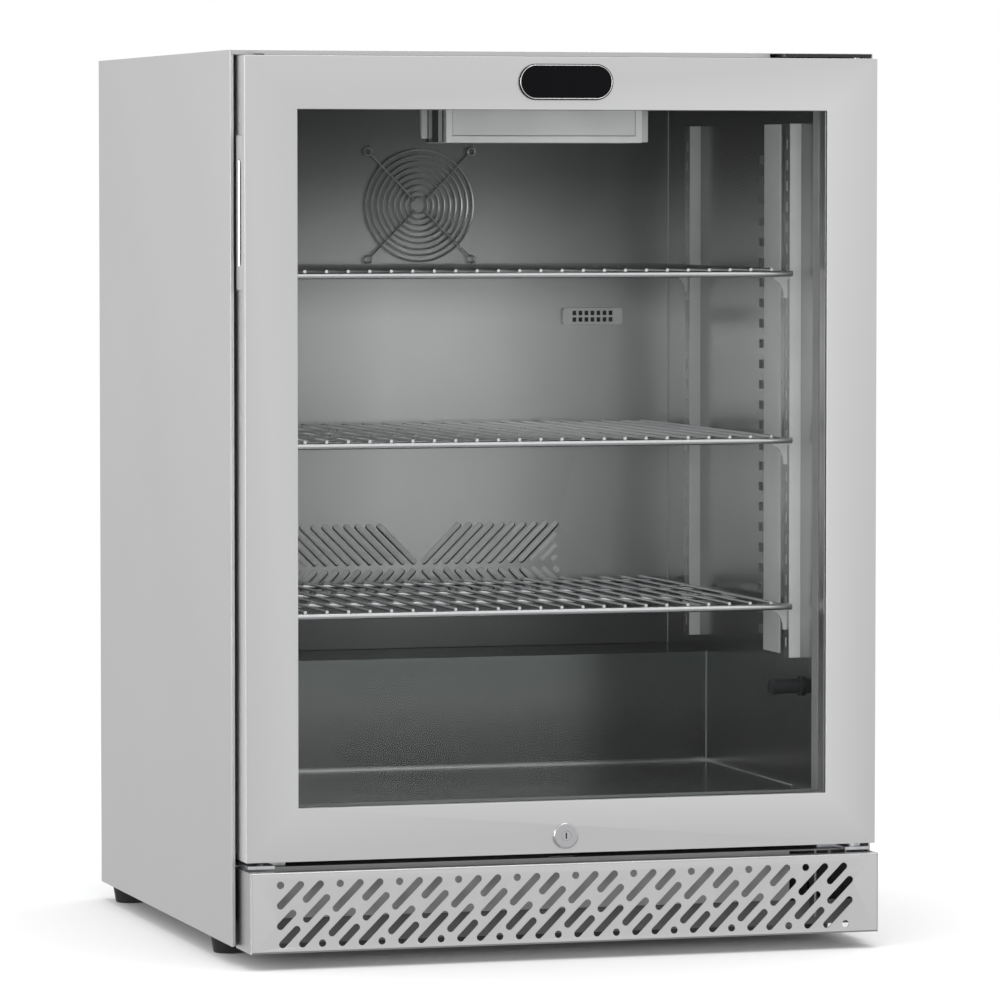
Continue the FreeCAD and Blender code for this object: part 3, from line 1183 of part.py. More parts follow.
def make_fan_stand():
    """Condenser fan frame on a bracket that stands on the tray."""
    frame = to_condenser_fan(make_fan_frame())
    low = BASE + TRAY_SHEET
    high = CONDENSER_FAN_Z - FAN_SIZE / 2
    legs = [box(CONDENSER_FAN_X + 4, CONDENSER_FAN_X + FAN_DEPTH - 4, REAR_BAY_MIDDLE + dy - 8,
                REAR_BAY_MIDDLE + dy + 8, low, high) for dy in (-48, 48)]
    return fuse([frame] + legs)


def make_drip_tray():
    """Open tray that catches defrost water, on the bay floor between compressor and fan."""
    x0 = COMPRESSOR_X + COMPRESSOR_PLATE[0] / 2 + 8.0
    x1 = CONDENSER_FAN_X - TRAY_GAPS[1]
    y0 = REAR_BAY_FRONT + TRAY_GAPS[0]
    y1 = BACK - SHEET - TRAY_GAPS[1]
    low = BASE + TRAY_SHEET
    wall = TRAY_WALL
    outer = box(x0, x1, y0, y1, low, low + TRAY_DEPTH)
    return outer.cut(box(x0 + wall, x1 - wall, y0 + wall, y1 - wall, low + wall, low + TRAY_DEPTH + 1))


def inlet_centre():
    """Middle of the power inlet, as (x, z)."""
    return (-ROOM + INLET_INSET, BASE + INLET_RISE)


def inlet_block(extra):
    """Body of the power inlet in the vent cover."""
    x, z = inlet_centre()
    wide, tall = INLET_HALF[0] + extra, INLET_HALF[1] + extra
    return box(x - wide, x + wide, BACK - INLET_DEPTH, BACK, z - tall, z + tall)


def make_power_inlet():
    """Recessed mains inlet with three blades."""
    x, z = inlet_centre()
    block = inlet_block(0.0)
    recess = box(x - 13, x + 13, BACK - INLET_DEPTH + 5.0, BACK + 1, z - 9, z + 9)
    wide, long, tall = BLADE_SIZE
    root = BACK - INLET_DEPTH + 4.0
    blades = [box(x + dx - wide / 2, x + dx + wide / 2, root, root + long,
                  z + dz - tall / 2, z + dz + tall / 2)
              for dx, dz in ((-7, -1), (0, 2), (7, -1))]
    return fuse([block.cut(recess)] + blades)


def make_rear_vent_cover():
    """Lower back cover with rows of upright cooling slots."""
    sheet = box(-INSIDE, INSIDE, BACK - SHEET, BACK, BASE + TRAY_SHEET + FIT_GAP, REAR_BAY_TOP - FIT_GAP)
    cutters = screw_holes() + [inlet_block(FIT_GAP)]
    for low, high in REAR_SLOT_ROWS:
        for index in range(REAR_SLOT_COUNT):
            x = (index - (REAR_SLOT_COUNT - 1) / 2) * REAR_SLOT_PITCH
            cutters.append(slot_cutter(x, BASE + low, x, BASE + high, REAR_SLOT_RADIUS,
                                       BACK - SHEET - 1, BACK + 1))
    return sheet.cut(cutters)


def make_probe_cover():
    """Slotted cover of the air probe on the evaporator cover."""
    long, deep, tall = PROBE_SIZE
    z = CEILING - PROBE_DROP
    half = long / 2
    shell = box(PROBE_CENTRE_X - half, PROBE_CENTRE_X + half, COVER - deep, COVER, z - tall / 2, z + tall / 2)
    uprights = [edge for edge in shell.Edges
                if abs(edge.BoundBox.YMin - edge.BoundBox.YMax) > deep * 0.9]
    shell = shell.makeFillet(3.0, uprights)
    tab = 8.0
    hollow = box(PROBE_CENTRE_X - half + tab, PROBE_CENTRE_X + half - tab, COVER - deep + 1.2, COVER + 1,
                 z - tall / 2 + 1.4, z + tall / 2 - 1.4)
    cutters = [hollow]
    pitch = (long - 2 * tab - 2.0) / 7
    for index in range(7):
        x = PROBE_CENTRE_X - 3 * pitch + index * pitch
        for dz in (-3.2, 3.2):
            cutters.append(box(x - 2.0, x + 2.0, COVER - deep - 1, COVER - 1, z + dz - 2.2, z + dz + 2.2))
    return shell.cut(cutters)


def make_foot(x, y):
    """Levelling foot: tapered cup on a threaded stud."""
    cup = Part.makeCone(FOOT_BOTTOM_RADIUS, FOOT_TOP_RADIUS, FOOT_HEIGHT, V(x, y, 0), V(0, 0, 1))
    rim = [edge for edge in cup.Edges if edge.BoundBox.ZMax < 1e-3]
    cup = cup.makeFillet(FOOT_EDGE, rim)
    stud = rod(STUD_RADIUS, (x, y, FOOT_HEIGHT), (x, y, FOOT_HEIGHT + STUD_LENGTH))
    return fuse([cup, stud])


# ---------------------------------------------------------------- build
def main():
    """Build every node and write it to parts/."""
    os.makedirs("parts", exist_ok=True)
    panel = make_side_panel()
    save("side_panel_right", [panel])
    save("side_panel_left", [mirrored(panel)])
    save("top_panel", [make_top_panel()])
    save("back_panel", [make_back_panel()])
    save("base_tray", [make_base_tray()])
    save("machine_bay_divider", [make_divider()])
    save("inner_liner", [make_liner()])
    save("insulation_foam", [make_foam()])
    save("front_frame", [make_front_frame()])
    save("front_rail", [make_front_rail()])
    save("kick_grille", [make_kick_grille()])
    save("panel_screws", make_panel_screws())

    save("top_hinge_plate", [make_top_hinge_plate()])
    save("bottom_hinge_bracket", [make_bottom_bracket(1)])
    save("spare_hinge_bracket", [make_bottom_bracket(-1)])
    save("hinge_pins", make_hinge_pins())
    save("hinge_screws", make_hinge_screws())

    save("door_frame", [make_door_frame()])
    save("door_liner", [make_door_liner()])
    save("door_foam", [make_door_foam()])
    save("outer_glass", [make_pane(OUTER_PANE)])
    save("inner_glass", [make_pane(INNER_PANE)])
    save("glass_spacer", [make_glass_spacer()])
    save("door_gasket", [make_gasket()])
    save("handle_grip", [make_handle_grip()])
    save("door_badge", [make_badge()])
    save("lock_body", [make_lock_body()])
    save("lock_cam", [make_lock_cam()])
    save("hinge_bushes", make_hinge_bushes())
    save("hinge_hole_plugs", make_hole_plugs())

    shelf = make_shelf()
    for name, z in zip(("shelf_top", "shelf_middle", "shelf_bottom"), shelf_heights()):
        save(name, [moved(shelf, 0, 0, z)])
    save("shelf_standards", make_standards())
    save("shelf_clips", make_clips())
    save("light_housing", [make_light_housing()])
    save("light_diffuser", [make_light_diffuser()])
    save("led_board", [make_led_board()])
    save("control_module", [make_control_module()])
    save("sensor_peg", [make_sensor_peg()])

    save("evaporator_cover", [make_evaporator_cover()])
    save("fan_guard", [make_fan_guard()])
    frame = make_fan_frame()
    rotor = make_fan_rotor()
    save("evaporator_fan_frame", [to_evaporator_fan(frame)])
    save("evaporator_fan_rotor", [to_evaporator_fan(rotor)])
    coil = make_coil(*COIL_SIZE, COIL_ROWS, COIL_FINS, COIL_TUBE_RADIUS)
    save("evaporator_coil", [moved(coil, *coil_place())])
    save("probe_cover", [make_probe_cover()])

    save("compressor", [make_compressor()])
    save("compressor_mounts", make_compressor_mounts())
    save("condenser", [make_condenser()])
    save("condenser_fan_frame", [make_fan_stand()])
    save("condenser_fan_rotor", [to_condenser_fan(rotor)])
    save("copper_lines", make_copper_lines())
    save("filter_drier", [make_filter_drier()])
    save("drip_tray", [make_drip_tray()])
    save("power_inlet", [make_power_inlet()])
    save("rear_vent_cover", [make_rear_vent_cover()])
    for name, place in FOOT_PLACES.items():
        save(name, [make_foot(*place)])


main()
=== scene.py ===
"""Looks of the under counter fridge: finishes, formed metal, glass, wire work and the studio.

Everything stands in the part's own frame, in metres: +X to the fridge's right as seen from the
front, +Y towards its back, +Z up, with the floor at zero.
"""

import logging
import math
from dataclasses import dataclass
from enum import Enum
from typing import Iterable, Sequence

import bmesh
import bpy
from mathutils import Matrix, Vector


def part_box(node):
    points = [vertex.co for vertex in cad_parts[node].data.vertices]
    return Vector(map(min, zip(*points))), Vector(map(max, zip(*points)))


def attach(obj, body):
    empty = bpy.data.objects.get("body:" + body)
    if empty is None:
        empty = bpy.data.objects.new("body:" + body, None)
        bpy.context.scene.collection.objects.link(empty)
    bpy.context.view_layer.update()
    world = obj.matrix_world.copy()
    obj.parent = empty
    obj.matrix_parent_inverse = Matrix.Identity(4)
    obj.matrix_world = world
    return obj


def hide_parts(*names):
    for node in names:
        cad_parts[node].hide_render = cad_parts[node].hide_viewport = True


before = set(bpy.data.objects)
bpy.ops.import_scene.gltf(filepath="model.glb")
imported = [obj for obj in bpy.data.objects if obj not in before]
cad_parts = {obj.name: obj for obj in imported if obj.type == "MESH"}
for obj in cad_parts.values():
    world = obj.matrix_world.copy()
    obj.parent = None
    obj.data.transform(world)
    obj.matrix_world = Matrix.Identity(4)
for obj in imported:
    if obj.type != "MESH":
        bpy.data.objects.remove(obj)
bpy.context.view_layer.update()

LOG = logging.getLogger("fridge")
MM = 0.001
WELD = 2e-6            # points nearer than this are one point
FLAT = math.radians(0.4)
SHARP = math.radians(32.0)
SLANT = math.radians(45.0)

Triple = tuple[float, float, float]
Socket = bpy.types.NodeSocket
Piece = bpy.types.Object
Mesh = bpy.types.Mesh


class Grain(Enum):
    """The direction in which a sheet was brushed."""

    ALONG_X = (0.012, 1.0, 1.0)
    ALONG_Y = (1.0, 0.012, 1.0)
    ALONG_Z = (1.0, 1.0, 0.012)
    NONE = (1.0, 1.0, 1.0)


# ------------------------------------------------------------------ shader building
class Shader:
    """A material under construction, with short ways to add nodes and links."""

    def __init__(self, name: str) -> None:
        """Start an empty material.

        Args:
            name: the material's name.
        """
        self.material = bpy.data.materials.new(name)
        self.material.use_nodes = True
        self.tree = self.material.node_tree
        self.tree.nodes.clear()
        self.output = self.add("ShaderNodeOutputMaterial")
        self.place = self.add("ShaderNodeTexCoord").outputs["Object"]

    def add(self, kind: str, **settings: object) -> bpy.types.Node:
        """Add a node.

        Args:
            kind: the node's type.
            settings: attributes of the node, and input values by name with spaces as underscores.

        Returns:
            The new node.
        """
        node = self.tree.nodes.new(kind)
        for key, value in settings.items():
            if hasattr(node, key):
                setattr(node, key, value)
            else:
                node.inputs[key.replace("_", " ")].default_value = value
        return node

    def link(self, start: Socket, end: Socket) -> None:
        """Join an output to an input."""
        self.tree.links.new(start, end)

    def put(self, value: object, socket: Socket) -> None:
        """Link an output to an input, or set the input to a plain value."""
        if isinstance(value, Socket):
            self.link(value, socket)
        else:
            socket.default_value = value

    def noise(self, scale: float, detail: float, stretch: Triple = (1.0, 1.0, 1.0)) -> Socket:
        """Noise on object coordinates.

        Args:
            scale: features per metre.
            detail: octaves.
            stretch: how much each axis counts, so that a small value draws the noise out along it.

        Returns:
            The noise's value, from 0 to 1.
        """
        mapping = self.add("ShaderNodeMapping", Scale=stretch)
        self.link(self.place, mapping.inputs["Vector"])
        noise = self.add("ShaderNodeTexNoise", Scale=scale, Detail=detail, Roughness=0.6)
        self.link(mapping.outputs["Vector"], noise.inputs["Vector"])
        return noise.outputs["Fac"]

    def spread(self, value: Socket, low: float, high: float) -> Socket:
        """The middle of a noise mapped onto a range.

        Args:
            value: a value that mostly lies from 0.3 to 0.7.
            low: result at 0.3 and below.
            high: result at 0.7 and above.

        Returns:
            The mapped value.
        """
        node = self.add("ShaderNodeMapRange", From_Min=0.3, From_Max=0.7, To_Min=low, To_Max=high)
        self.link(value, node.inputs["Value"])
        return node.outputs["Result"]

    def scaled(self, value: Socket, factor: float, offset: Socket | float = 0.0) -> Socket:
        """A value times a factor, plus an offset."""
        node = self.add("ShaderNodeMath", operation="MULTIPLY_ADD")
        for given, socket in zip((value, factor, offset), node.inputs):
            self.put(given, socket)
        return node.outputs[0]

    def ramp(self, value: Socket, stops: Sequence[tuple[float, Triple]]) -> Socket:
        """A colour for each value, changing evenly between stops.

        Args:
            value: the value.
            stops: value and linear colour of each stop, from the lowest up.

        Returns:
            The colour.
        """
        node = self.add("ShaderNodeValToRGB")
        elements = node.color_ramp.elements
        for index, (place, colour) in enumerate(stops):
            stop = elements[index] if index < 2 else elements.new(place)
            stop.position = place
            stop.color = (*colour, 1.0)
        self.link(value, node.inputs["Fac"])
        return node.outputs["Color"]

    def blend(self, value: Socket, first: Triple, second: Triple) -> Socket:
        """Colour between two colours: 0.3 or less gives the first, and 0.7 or more the second."""
        return self.ramp(value, ((0.3, first), (0.7, second)))

    def mixed(self, share: object, first: object, second: object, blend_type: str = "MIX") -> Socket:
        """Mix two colours.

        Args:
            share: how much the second counts, as a number or socket.
            first: a socket, or a linear colour with its alpha.
            second: the same.
            blend_type: how the second acts on the first.

        Returns:
            The colour.
        """
        mix = self.add("ShaderNodeMix", data_type="RGBA", blend_type=blend_type)
        colours = [socket for socket in mix.inputs if socket.type == "RGBA"]
        for value, socket in zip((share, first, second), (mix.inputs["Factor"], *colours)):
            self.put(value, socket)
        return [socket for socket in mix.outputs if socket.type == "RGBA"][0]

    def edge_wear_and_highlight(self, colour: Socket, edge: Triple, amount: float) -> Socket:
        """Lighten a colour along the piece's outer edges: rubbed wear, and painted highlight.

        Args:
            colour: colour of the faces.
            edge: colour of the sharpest edges, rubbed and with painted highlight.
            amount: share of the edge colour on the sharpest edges.

        Returns:
            The colour with its edges rubbed.
        """
        geometry = self.add("ShaderNodeNewGeometry")
        where = self.add("ShaderNodeMapRange", From_Min=0.52, From_Max=0.66, To_Max=amount)
        self.link(geometry.outputs["Pointiness"], where.inputs["Value"])
        return self.mixed(where.outputs["Result"], colour, (*edge, 1.0))

    def with_painted_shade(self, colour: Socket, painted_shade_stops: Sequence[tuple[float, Triple]],
              axis: str = "Z", start: float = 0.0) -> Socket:
        """Scale a colour along an axis, to paint shade onto it.

        Args:
            colour: the colour.
            painted_shade_stops: distance in metres from the start and the factor of each channel there, in
                order, as painted shade.
            axis: the axis.
            start: the axis value that the distances are counted from.

        Returns:
            The scaled colour.
        """
        axes = self.add("ShaderNodeSeparateXYZ")
        self.link(self.place, axes.inputs[0])
        factor = self.ramp(self.scaled(axes.outputs[axis], 1.0, -start), painted_shade_stops)
        return self.mixed(1.0, colour, factor, "MULTIPLY")

    def between(self, share: Socket, first: Socket, second: Socket) -> Socket:
        """Two shaders mixed by a share of the second."""
        mix = self.add("ShaderNodeMixShader")
        for place, socket in enumerate((share, first, second)):
            self.link(socket, mix.inputs[place])
        return mix.outputs["Shader"]

    def finished(self, surface: Socket) -> bpy.types.Material:
        """The material with its surface."""
        self.link(surface, self.output.inputs["Surface"])
        return self.material

    def bump(self, height: Socket, strength: float, depth: float) -> Socket:
        """A bumped normal.

        Args:
            height: the relief, from 0 to 1.
            strength: share of the relief that shows.
            depth: the relief's depth in metres.

        Returns:
            The normal.
        """
        node = self.add("ShaderNodeBump", Strength=strength, Distance=depth)
        self.link(height, node.inputs["Height"])
        return node.outputs["Normal"]


def grey(level: float) -> Triple:
    """A neutral colour."""
    return (level, level, level)


def shade(colour: Triple, factor: float) -> Triple:
    """A colour made darker or lighter."""
    return (colour[0] * factor, colour[1] * factor, colour[2] * factor)


# ------------------------------------------------------------------ finishes
@dataclass(frozen=True)
class BrushedSteel:
    """Sheet steel with a drawn-out grain, soft handling marks, edges lightened by rubbing and painted
    highlight, and painted shade along its height and across it where stops are given.
    """

    name: str
    colour: Triple
    roughness: float
    grain: Grain = Grain.ALONG_Z
    swing: float = 0.05
    contrast: float = 0.05
    relief: float = 0.08
    grain_scale: float = 2200.0
    edge: float = 0.5
    line_share: float = 0.55
    # Painted shade: factors on the colour by height, and across X counted from x = -0.5 m.
    painted_shade_stops: tuple[tuple[float, Triple], ...] = ()
    painted_shade_across: tuple[tuple[float, Triple], ...] = ()

    def material(self) -> bpy.types.Material:
        """Build the material."""
        shader = Shader(self.name)
        lines = shader.noise(self.grain_scale, 3.0, self.grain.value)
        marks = shader.noise(4.5, 3.0)
        sheet = shader.add("ShaderNodeBsdfPrincipled", Metallic=1.0)
        pattern = shader.scaled(lines, self.line_share, shader.scaled(marks, 1.0 - self.line_share))
        colour = shader.blend(pattern, shade(self.colour, 1.0 - self.contrast),
                              shade(self.colour, 1.0 + self.contrast))
        # Edges lightened: rubbed wear and painted highlight.
        colour = shader.edge_wear_and_highlight(colour, shade(self.colour, 1.35), self.edge)
        # Painted shade along the height, then across the width.
        if self.painted_shade_stops:
            colour = shader.with_painted_shade(colour, self.painted_shade_stops)
        if self.painted_shade_across:
            colour = shader.with_painted_shade(colour, self.painted_shade_across, "X", -0.5)
        shader.link(colour, sheet.inputs["Base Color"])
        rough = shader.spread(pattern, self.roughness - self.swing, self.roughness + self.swing)
        shader.link(rough, sheet.inputs["Roughness"])
        shader.link(shader.bump(lines, self.relief, 0.00005), sheet.inputs["Normal"])
        return shader.finished(sheet.outputs["BSDF"])


@dataclass(frozen=True)
class Moulded:
    """Moulded plastic, rubber or paint: fine texture, faint colour drift, and edges lightened by rubbing and
    painted highlight.
    """

    name: str
    colour: Triple
    roughness: float
    texture_scale: float = 900.0
    relief: float = 0.12
    contrast: float = 0.08
    edge: float = 0.25
    coat: float = 0.0
    specular: float = 0.5

    def material(self) -> bpy.types.Material:
        """Build the material."""
        shader = Shader(self.name)
        body = shader.add("ShaderNodeBsdfPrincipled", Metallic=0.0, Coat_Weight=self.coat,
                          Coat_Roughness=0.12, Specular_IOR_Level=self.specular)
        fine = shader.noise(self.texture_scale, 4.0)
        broad = shader.noise(14.0, 3.0)
        colour = shader.blend(broad, shade(self.colour, 1.0 - self.contrast),
                              shade(self.colour, 1.0 + self.contrast))
        lighter = tuple(min(1.0, part * 1.5 + 0.03) for part in self.colour)
        # Edges lightened: rubbed wear and painted highlight.
        shader.link(shader.edge_wear_and_highlight(colour, lighter, self.edge), body.inputs["Base Color"])
        rough = shader.spread(fine, self.roughness - 0.06, self.roughness + 0.06)
        shader.link(rough, body.inputs["Roughness"])
        shader.link(shader.bump(fine, self.relief, 0.0002), body.inputs["Normal"])
        return shader.finished(body.outputs["BSDF"])


@dataclass(frozen=True)
class Spangled:
    """Zinc-coated steel with its crystal pattern."""

    name: str
    colour: Triple
    roughness: float = 0.42

    def material(self) -> bpy.types.Material:
        """Build the material."""
        shader = Shader(self.name)
        sheet = shader.add("ShaderNodeBsdfPrincipled", Metallic=1.0)
        cells = shader.add("ShaderNodeTexVoronoi", Scale=190.0)
        shader.link(shader.place, cells.inputs["Vector"])
        tone = shader.add("ShaderNodeSeparateColor")
        shader.link(cells.outputs["Color"], tone.inputs["Color"])
        colour = shader.blend(tone.outputs["Red"], shade(self.colour, 0.94), shade(self.colour, 1.05))
        shader.link(colour, sheet.inputs["Base Color"])
        rough = shader.spread(tone.outputs["Green"], self.roughness - 0.05, self.roughness + 0.05)
        shader.link(rough, sheet.inputs["Roughness"])
        shader.link(shader.bump(shader.noise(600.0, 3.0), 0.1, 0.0001), sheet.inputs["Normal"])
        return shader.finished(sheet.outputs["BSDF"])


@dataclass(frozen=True)
class PaneGlass:
    """Clear flat glass: a faint tint for what is behind it and a clean reflection."""

    name: str
    tint: Triple
    reflection: float
    grazing: float

    def material(self) -> bpy.types.Material:
        """Build the material."""
        shader = Shader(self.name)
        smears = shader.noise(9.0, 4.0)
        through = shader.add("ShaderNodeBsdfTransparent")
        shader.link(shader.blend(smears, shade(self.tint, 0.992), self.tint), through.inputs["Color"])
        gloss = shader.add("ShaderNodeBsdfAnisotropic", Color=(0.95, 0.98, 0.97, 1.0))
        shader.link(shader.spread(smears, 0.015, 0.035), gloss.inputs["Roughness"])
        slant = shader.add("ShaderNodeLayerWeight", Blend=0.5)
        power = shader.add("ShaderNodeMath", operation="POWER")
        power.inputs[1].default_value = 5.0
        shader.link(slant.outputs["Facing"], power.inputs[0])
        share = shader.scaled(power.outputs[0], self.grazing, self.reflection)
        return shader.finished(shader.between(share, through.outputs["BSDF"], gloss.outputs["BSDF"]))


@dataclass(frozen=True)
class Finishes:
    """Every finish of the fridge, built once."""

    cabinet: BrushedSteel = BrushedSteel("cabinet_steel", (0.515, 0.515, 0.517), 0.36, Grain.ALONG_Y,
                                         contrast=0.02, relief=0.02)
    door: BrushedSteel = BrushedSteel("door_steel", (0.66, 0.66, 0.662), 0.36, Grain.ALONG_Z,
                                      contrast=0.015, relief=0.02, edge=0.8)
    grille: BrushedSteel = BrushedSteel("grille_steel", (0.68, 0.68, 0.682), 0.36, Grain.ALONG_X,
                                        contrast=0.015, relief=0.02, edge=0.8)
    rail: BrushedSteel = BrushedSteel("rail_steel", (0.42, 0.42, 0.425), 0.4, Grain.ALONG_X)
    # Darker than the cover, with painted shade by height: darkest on the floor and the step, with a faint
    # green cast on the step, lightest at mid-height, darker again towards the ceiling.
    liner: BrushedSteel = BrushedSteel(
        "liner_steel", grey(0.5), 0.22, Grain.ALONG_Z, contrast=0.01, relief=0.005, edge=0.6,
        painted_shade_stops=((0.1372, grey(1.0)), (0.1380, grey(0.2)), (0.17, grey(0.25)), (0.20, (0.28, 0.288, 0.286)),
               (0.241, (0.25, 0.272, 0.268)), (0.244, grey(0.35)), (0.29, grey(0.8)), (0.56, grey(0.9)),
               (0.68, grey(0.55)), (0.766, grey(0.3))))
    # Painted shade by height: darkest low down and at the top, lightest at mid-height; painted_shade_across
    # darkens the left and right ends.
    cover: BrushedSteel = BrushedSteel(
        "cover_steel", grey(0.70), 0.38, Grain.ALONG_Z, contrast=0.015, relief=0.008,
        painted_shade_stops=((0.255, grey(0.17)), (0.288, grey(0.2)), (0.31, grey(0.68)), (0.41, grey(0.80)),
               (0.56, grey(0.93)), (0.62, grey(0.62)), (0.665, grey(0.40)), (0.70, grey(0.25)),
               (0.75, grey(0.17))),
        painted_shade_across=((0.38, grey(0.72)), (0.47, grey(1.0)), (0.58, grey(1.0)), (0.68, grey(0.66))))
    # Paler than the cover steel that the hoods are pressed from: painted highlight on the louvres. The probe
    # cover, wall strips and light box trims share it.
    louvre: Moulded = Moulded("louvre_painted_highlight", grey(0.80), 0.34, 500.0, specular=0.6)
    standard: Moulded = Moulded("standard_satin", grey(0.62), 0.32, 600.0, specular=0.7)
    seam: Moulded = Moulded("seam_sealed", (0.42, 0.43, 0.43), 0.3, 500.0, specular=0.8)
    bright: BrushedSteel = BrushedSteel("bright_steel", grey(0.72), 0.26, Grain.NONE,
                                        grain_scale=300.0, relief=0.02)
    # Darker copy of the standards' steel: painted shade on their sides, and on parts of the light box trims.
    standard_side: BrushedSteel = BrushedSteel("standard_shaded_side_steel", grey(0.42), 0.3, Grain.ALONG_Z)
    # Painted shade: dark grey for the flat marks that stand for slots, and for the base tray seen through the
    # grille.
    painted_slot_shade: Moulded = Moulded("painted_slot_shade_grey", grey(0.17), 0.5, specular=0.3)
    breaker: Moulded = Moulded("breaker_strip_grey", grey(0.62), 0.4)
    slot_dark: Moulded = Moulded("slot_shadow", grey(0.05), 0.6, specular=0.2)
    wire: BrushedSteel = BrushedSteel("shelf_wire_chrome", (0.72, 0.72, 0.73), 0.24, Grain.NONE,
                                      grain_scale=300.0, relief=0.03)
    guard: BrushedSteel = BrushedSteel("guard_wire_zinc", grey(0.62), 0.3, Grain.NONE,
                                       grain_scale=300.0, relief=0.03)
    chrome: BrushedSteel = BrushedSteel("lock_chrome_plate", (0.55, 0.55, 0.56), 0.2, Grain.NONE,
                                        grain_scale=500.0)
    zinc: Spangled = Spangled("zinc_plate", (0.62, 0.63, 0.65), 0.34)
    galvanised: Spangled = Spangled("galvanised_sheet", (0.5, 0.51, 0.53))
    spacer: BrushedSteel = BrushedSteel("spacer_bar", grey(0.55), 0.3, Grain.ALONG_Z)
    fins: BrushedSteel = BrushedSteel("coil_fins", (0.75, 0.76, 0.78), 0.38, Grain.ALONG_Z)
    copper: BrushedSteel = BrushedSteel("copper_pipe", (0.62, 0.28, 0.17), 0.3, Grain.NONE,
                                        grain_scale=160.0, contrast=0.18)
    black_steel: Moulded = Moulded("black_enamel", (0.012, 0.012, 0.013), 0.32, 240.0, coat=0.3,
                                   specular=0.3)
    badge: Moulded = Moulded("badge_black_gloss", (0.004, 0.004, 0.005), 0.25, 300.0, relief=0.02,
                             specular=0.06)
    black_plastic: Moulded = Moulded("black_plastic_moulded", (0.016, 0.016, 0.018), 0.42, specular=0.35)
    grey_plastic: Moulded = Moulded("grip_grey_plastic", (0.40, 0.40, 0.405), 0.38)
    # Lifted to mid grey: painted light on the gasket in the shaded gap beside the door.
    gasket: Moulded = Moulded("gasket_rubber_painted_light", (0.45, 0.45, 0.455), 0.6, 500.0)
    panel: Moulded = Moulded("door_back_panel_grey", (0.28, 0.28, 0.285), 0.42, 500.0)
    foot: Moulded = Moulded("foot_rubber_black", (0.010, 0.010, 0.011), 0.48, 700.0, specular=0.35)
    pale: Moulded = Moulded("pale_plastic_moulded", grey(0.62), 0.4)
    lens: Moulded = Moulded("lamp_lens_plastic", grey(0.56), 0.35)
    board: Moulded = Moulded("lamp_board_white", (0.7, 0.71, 0.68), 0.4)
    foam: Moulded = Moulded("insulating_foam", (0.7, 0.58, 0.34), 0.9, 260.0, relief=0.6)
    glass: PaneGlass = PaneGlass("door_pane_glass", (0.986, 0.989, 0.988), 0.003, 0.25)


class Palette:
    """The built materials, each made the first time it is asked for."""

    def __init__(self, finishes: Finishes) -> None:
        """Keep the finishes to build from.

        Args:
            finishes: the fridge's finishes.
        """
        self.finishes = finishes
        self.built: dict[str, bpy.types.Material] = {}

    def __getitem__(self, key: str) -> bpy.types.Material:
        """The material of one finish, by its field name."""
        if key not in self.built:
            self.built[key] = getattr(self.finishes, key).material()
        return self.built[key]


PALETTE = Palette(Finishes())


# ------------------------------------------------------------------ mesh helpers
def link_object(name: str, mesh: Mesh) -> Piece:
    """A new object for a mesh, in the scene."""
    piece = bpy.data.objects.new(name, mesh)
    bpy.context.scene.collection.objects.link(piece)
    return piece


def baked(piece: Piece) -> Piece:
    """Turn an object with modifiers into a plain mesh.

    Args:
        piece: the object.

    Returns:
        The same object, with the result in its mesh and no modifiers.
    """
    bpy.context.view_layer.update()
    graph = bpy.context.evaluated_depsgraph_get()
    mesh = bpy.data.meshes.new_from_object(piece.evaluated_get(graph), preserve_all_data_layers=True,
                                           depsgraph=graph)
    old = piece.data
    piece.modifiers.clear()
    piece.data = mesh
    mesh.name = piece.name
    bpy.data.meshes.remove(old)
    return piece


def soften(piece: Piece, width: float, segments: int = 2) -> Piece:
    """Round a piece's sharp edges and shade it smooth between them.

    Args:
        piece: the object.
        width: width of the rounding in metres, or 0 for none.
        segments: faces across each rounding.

    Returns:
        The same object.
    """
    if width > 0.0:
        bevel = piece.modifiers.new("edges", "BEVEL")
        bevel.width = width
        bevel.segments = segments
        bevel.limit_method = "ANGLE"
        bevel.angle_limit = SHARP
        bevel.use_clamp_overlap = True
        bevel.harden_normals = False
        baked(piece)
    piece.data.shade_smooth()
    piece.data.set_sharp_from_angle(angle=SHARP)
    weighted = piece.modifiers.new("flat_faces", "WEIGHTED_NORMAL")
    weighted.keep_sharp = True
    weighted.weight = 100
    return baked(piece)


def merged_copy(node: str) -> Mesh:
    """A node's shape as one welded mesh with flat faces joined.

    Args:
        node: name of the node.

    Returns:
        A new mesh. The node's own mesh isn't touched.
    """
    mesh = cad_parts[node].data.copy()
    mesh.materials.clear()
    shape = bmesh.new()
    shape.from_mesh(mesh)
    bmesh.ops.remove_doubles(shape, verts=shape.verts, dist=WELD)
    bmesh.ops.dissolve_degenerate(shape, edges=shape.edges, dist=WELD)
    bmesh.ops.dissolve_limit(shape, angle_limit=FLAT, verts=shape.verts, edges=shape.edges)
    bmesh.ops.recalc_face_normals(shape, faces=shape.faces)
    shape.to_mesh(mesh)
    shape.free()
    return mesh


def dress(piece: Piece, finish: str, body: str, nodes: Sequence[str]) -> Piece:
    """Give a finished piece its material and body, and hide the nodes that it replaces.

    Args:
        piece: the object, in place.
        finish: field name of its finish.
        body: the body that it rides on.
        nodes: nodes that it replaces.

    Returns:
        The same object.
    """
    if not piece.data.materials:
        piece.data.materials.append(PALETTE[finish])
    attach(piece, body)
    if nodes:
        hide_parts(*nodes)
    LOG.info("%s: %d faces on %s", piece.name, len(piece.data.polygons), body)
    return piece


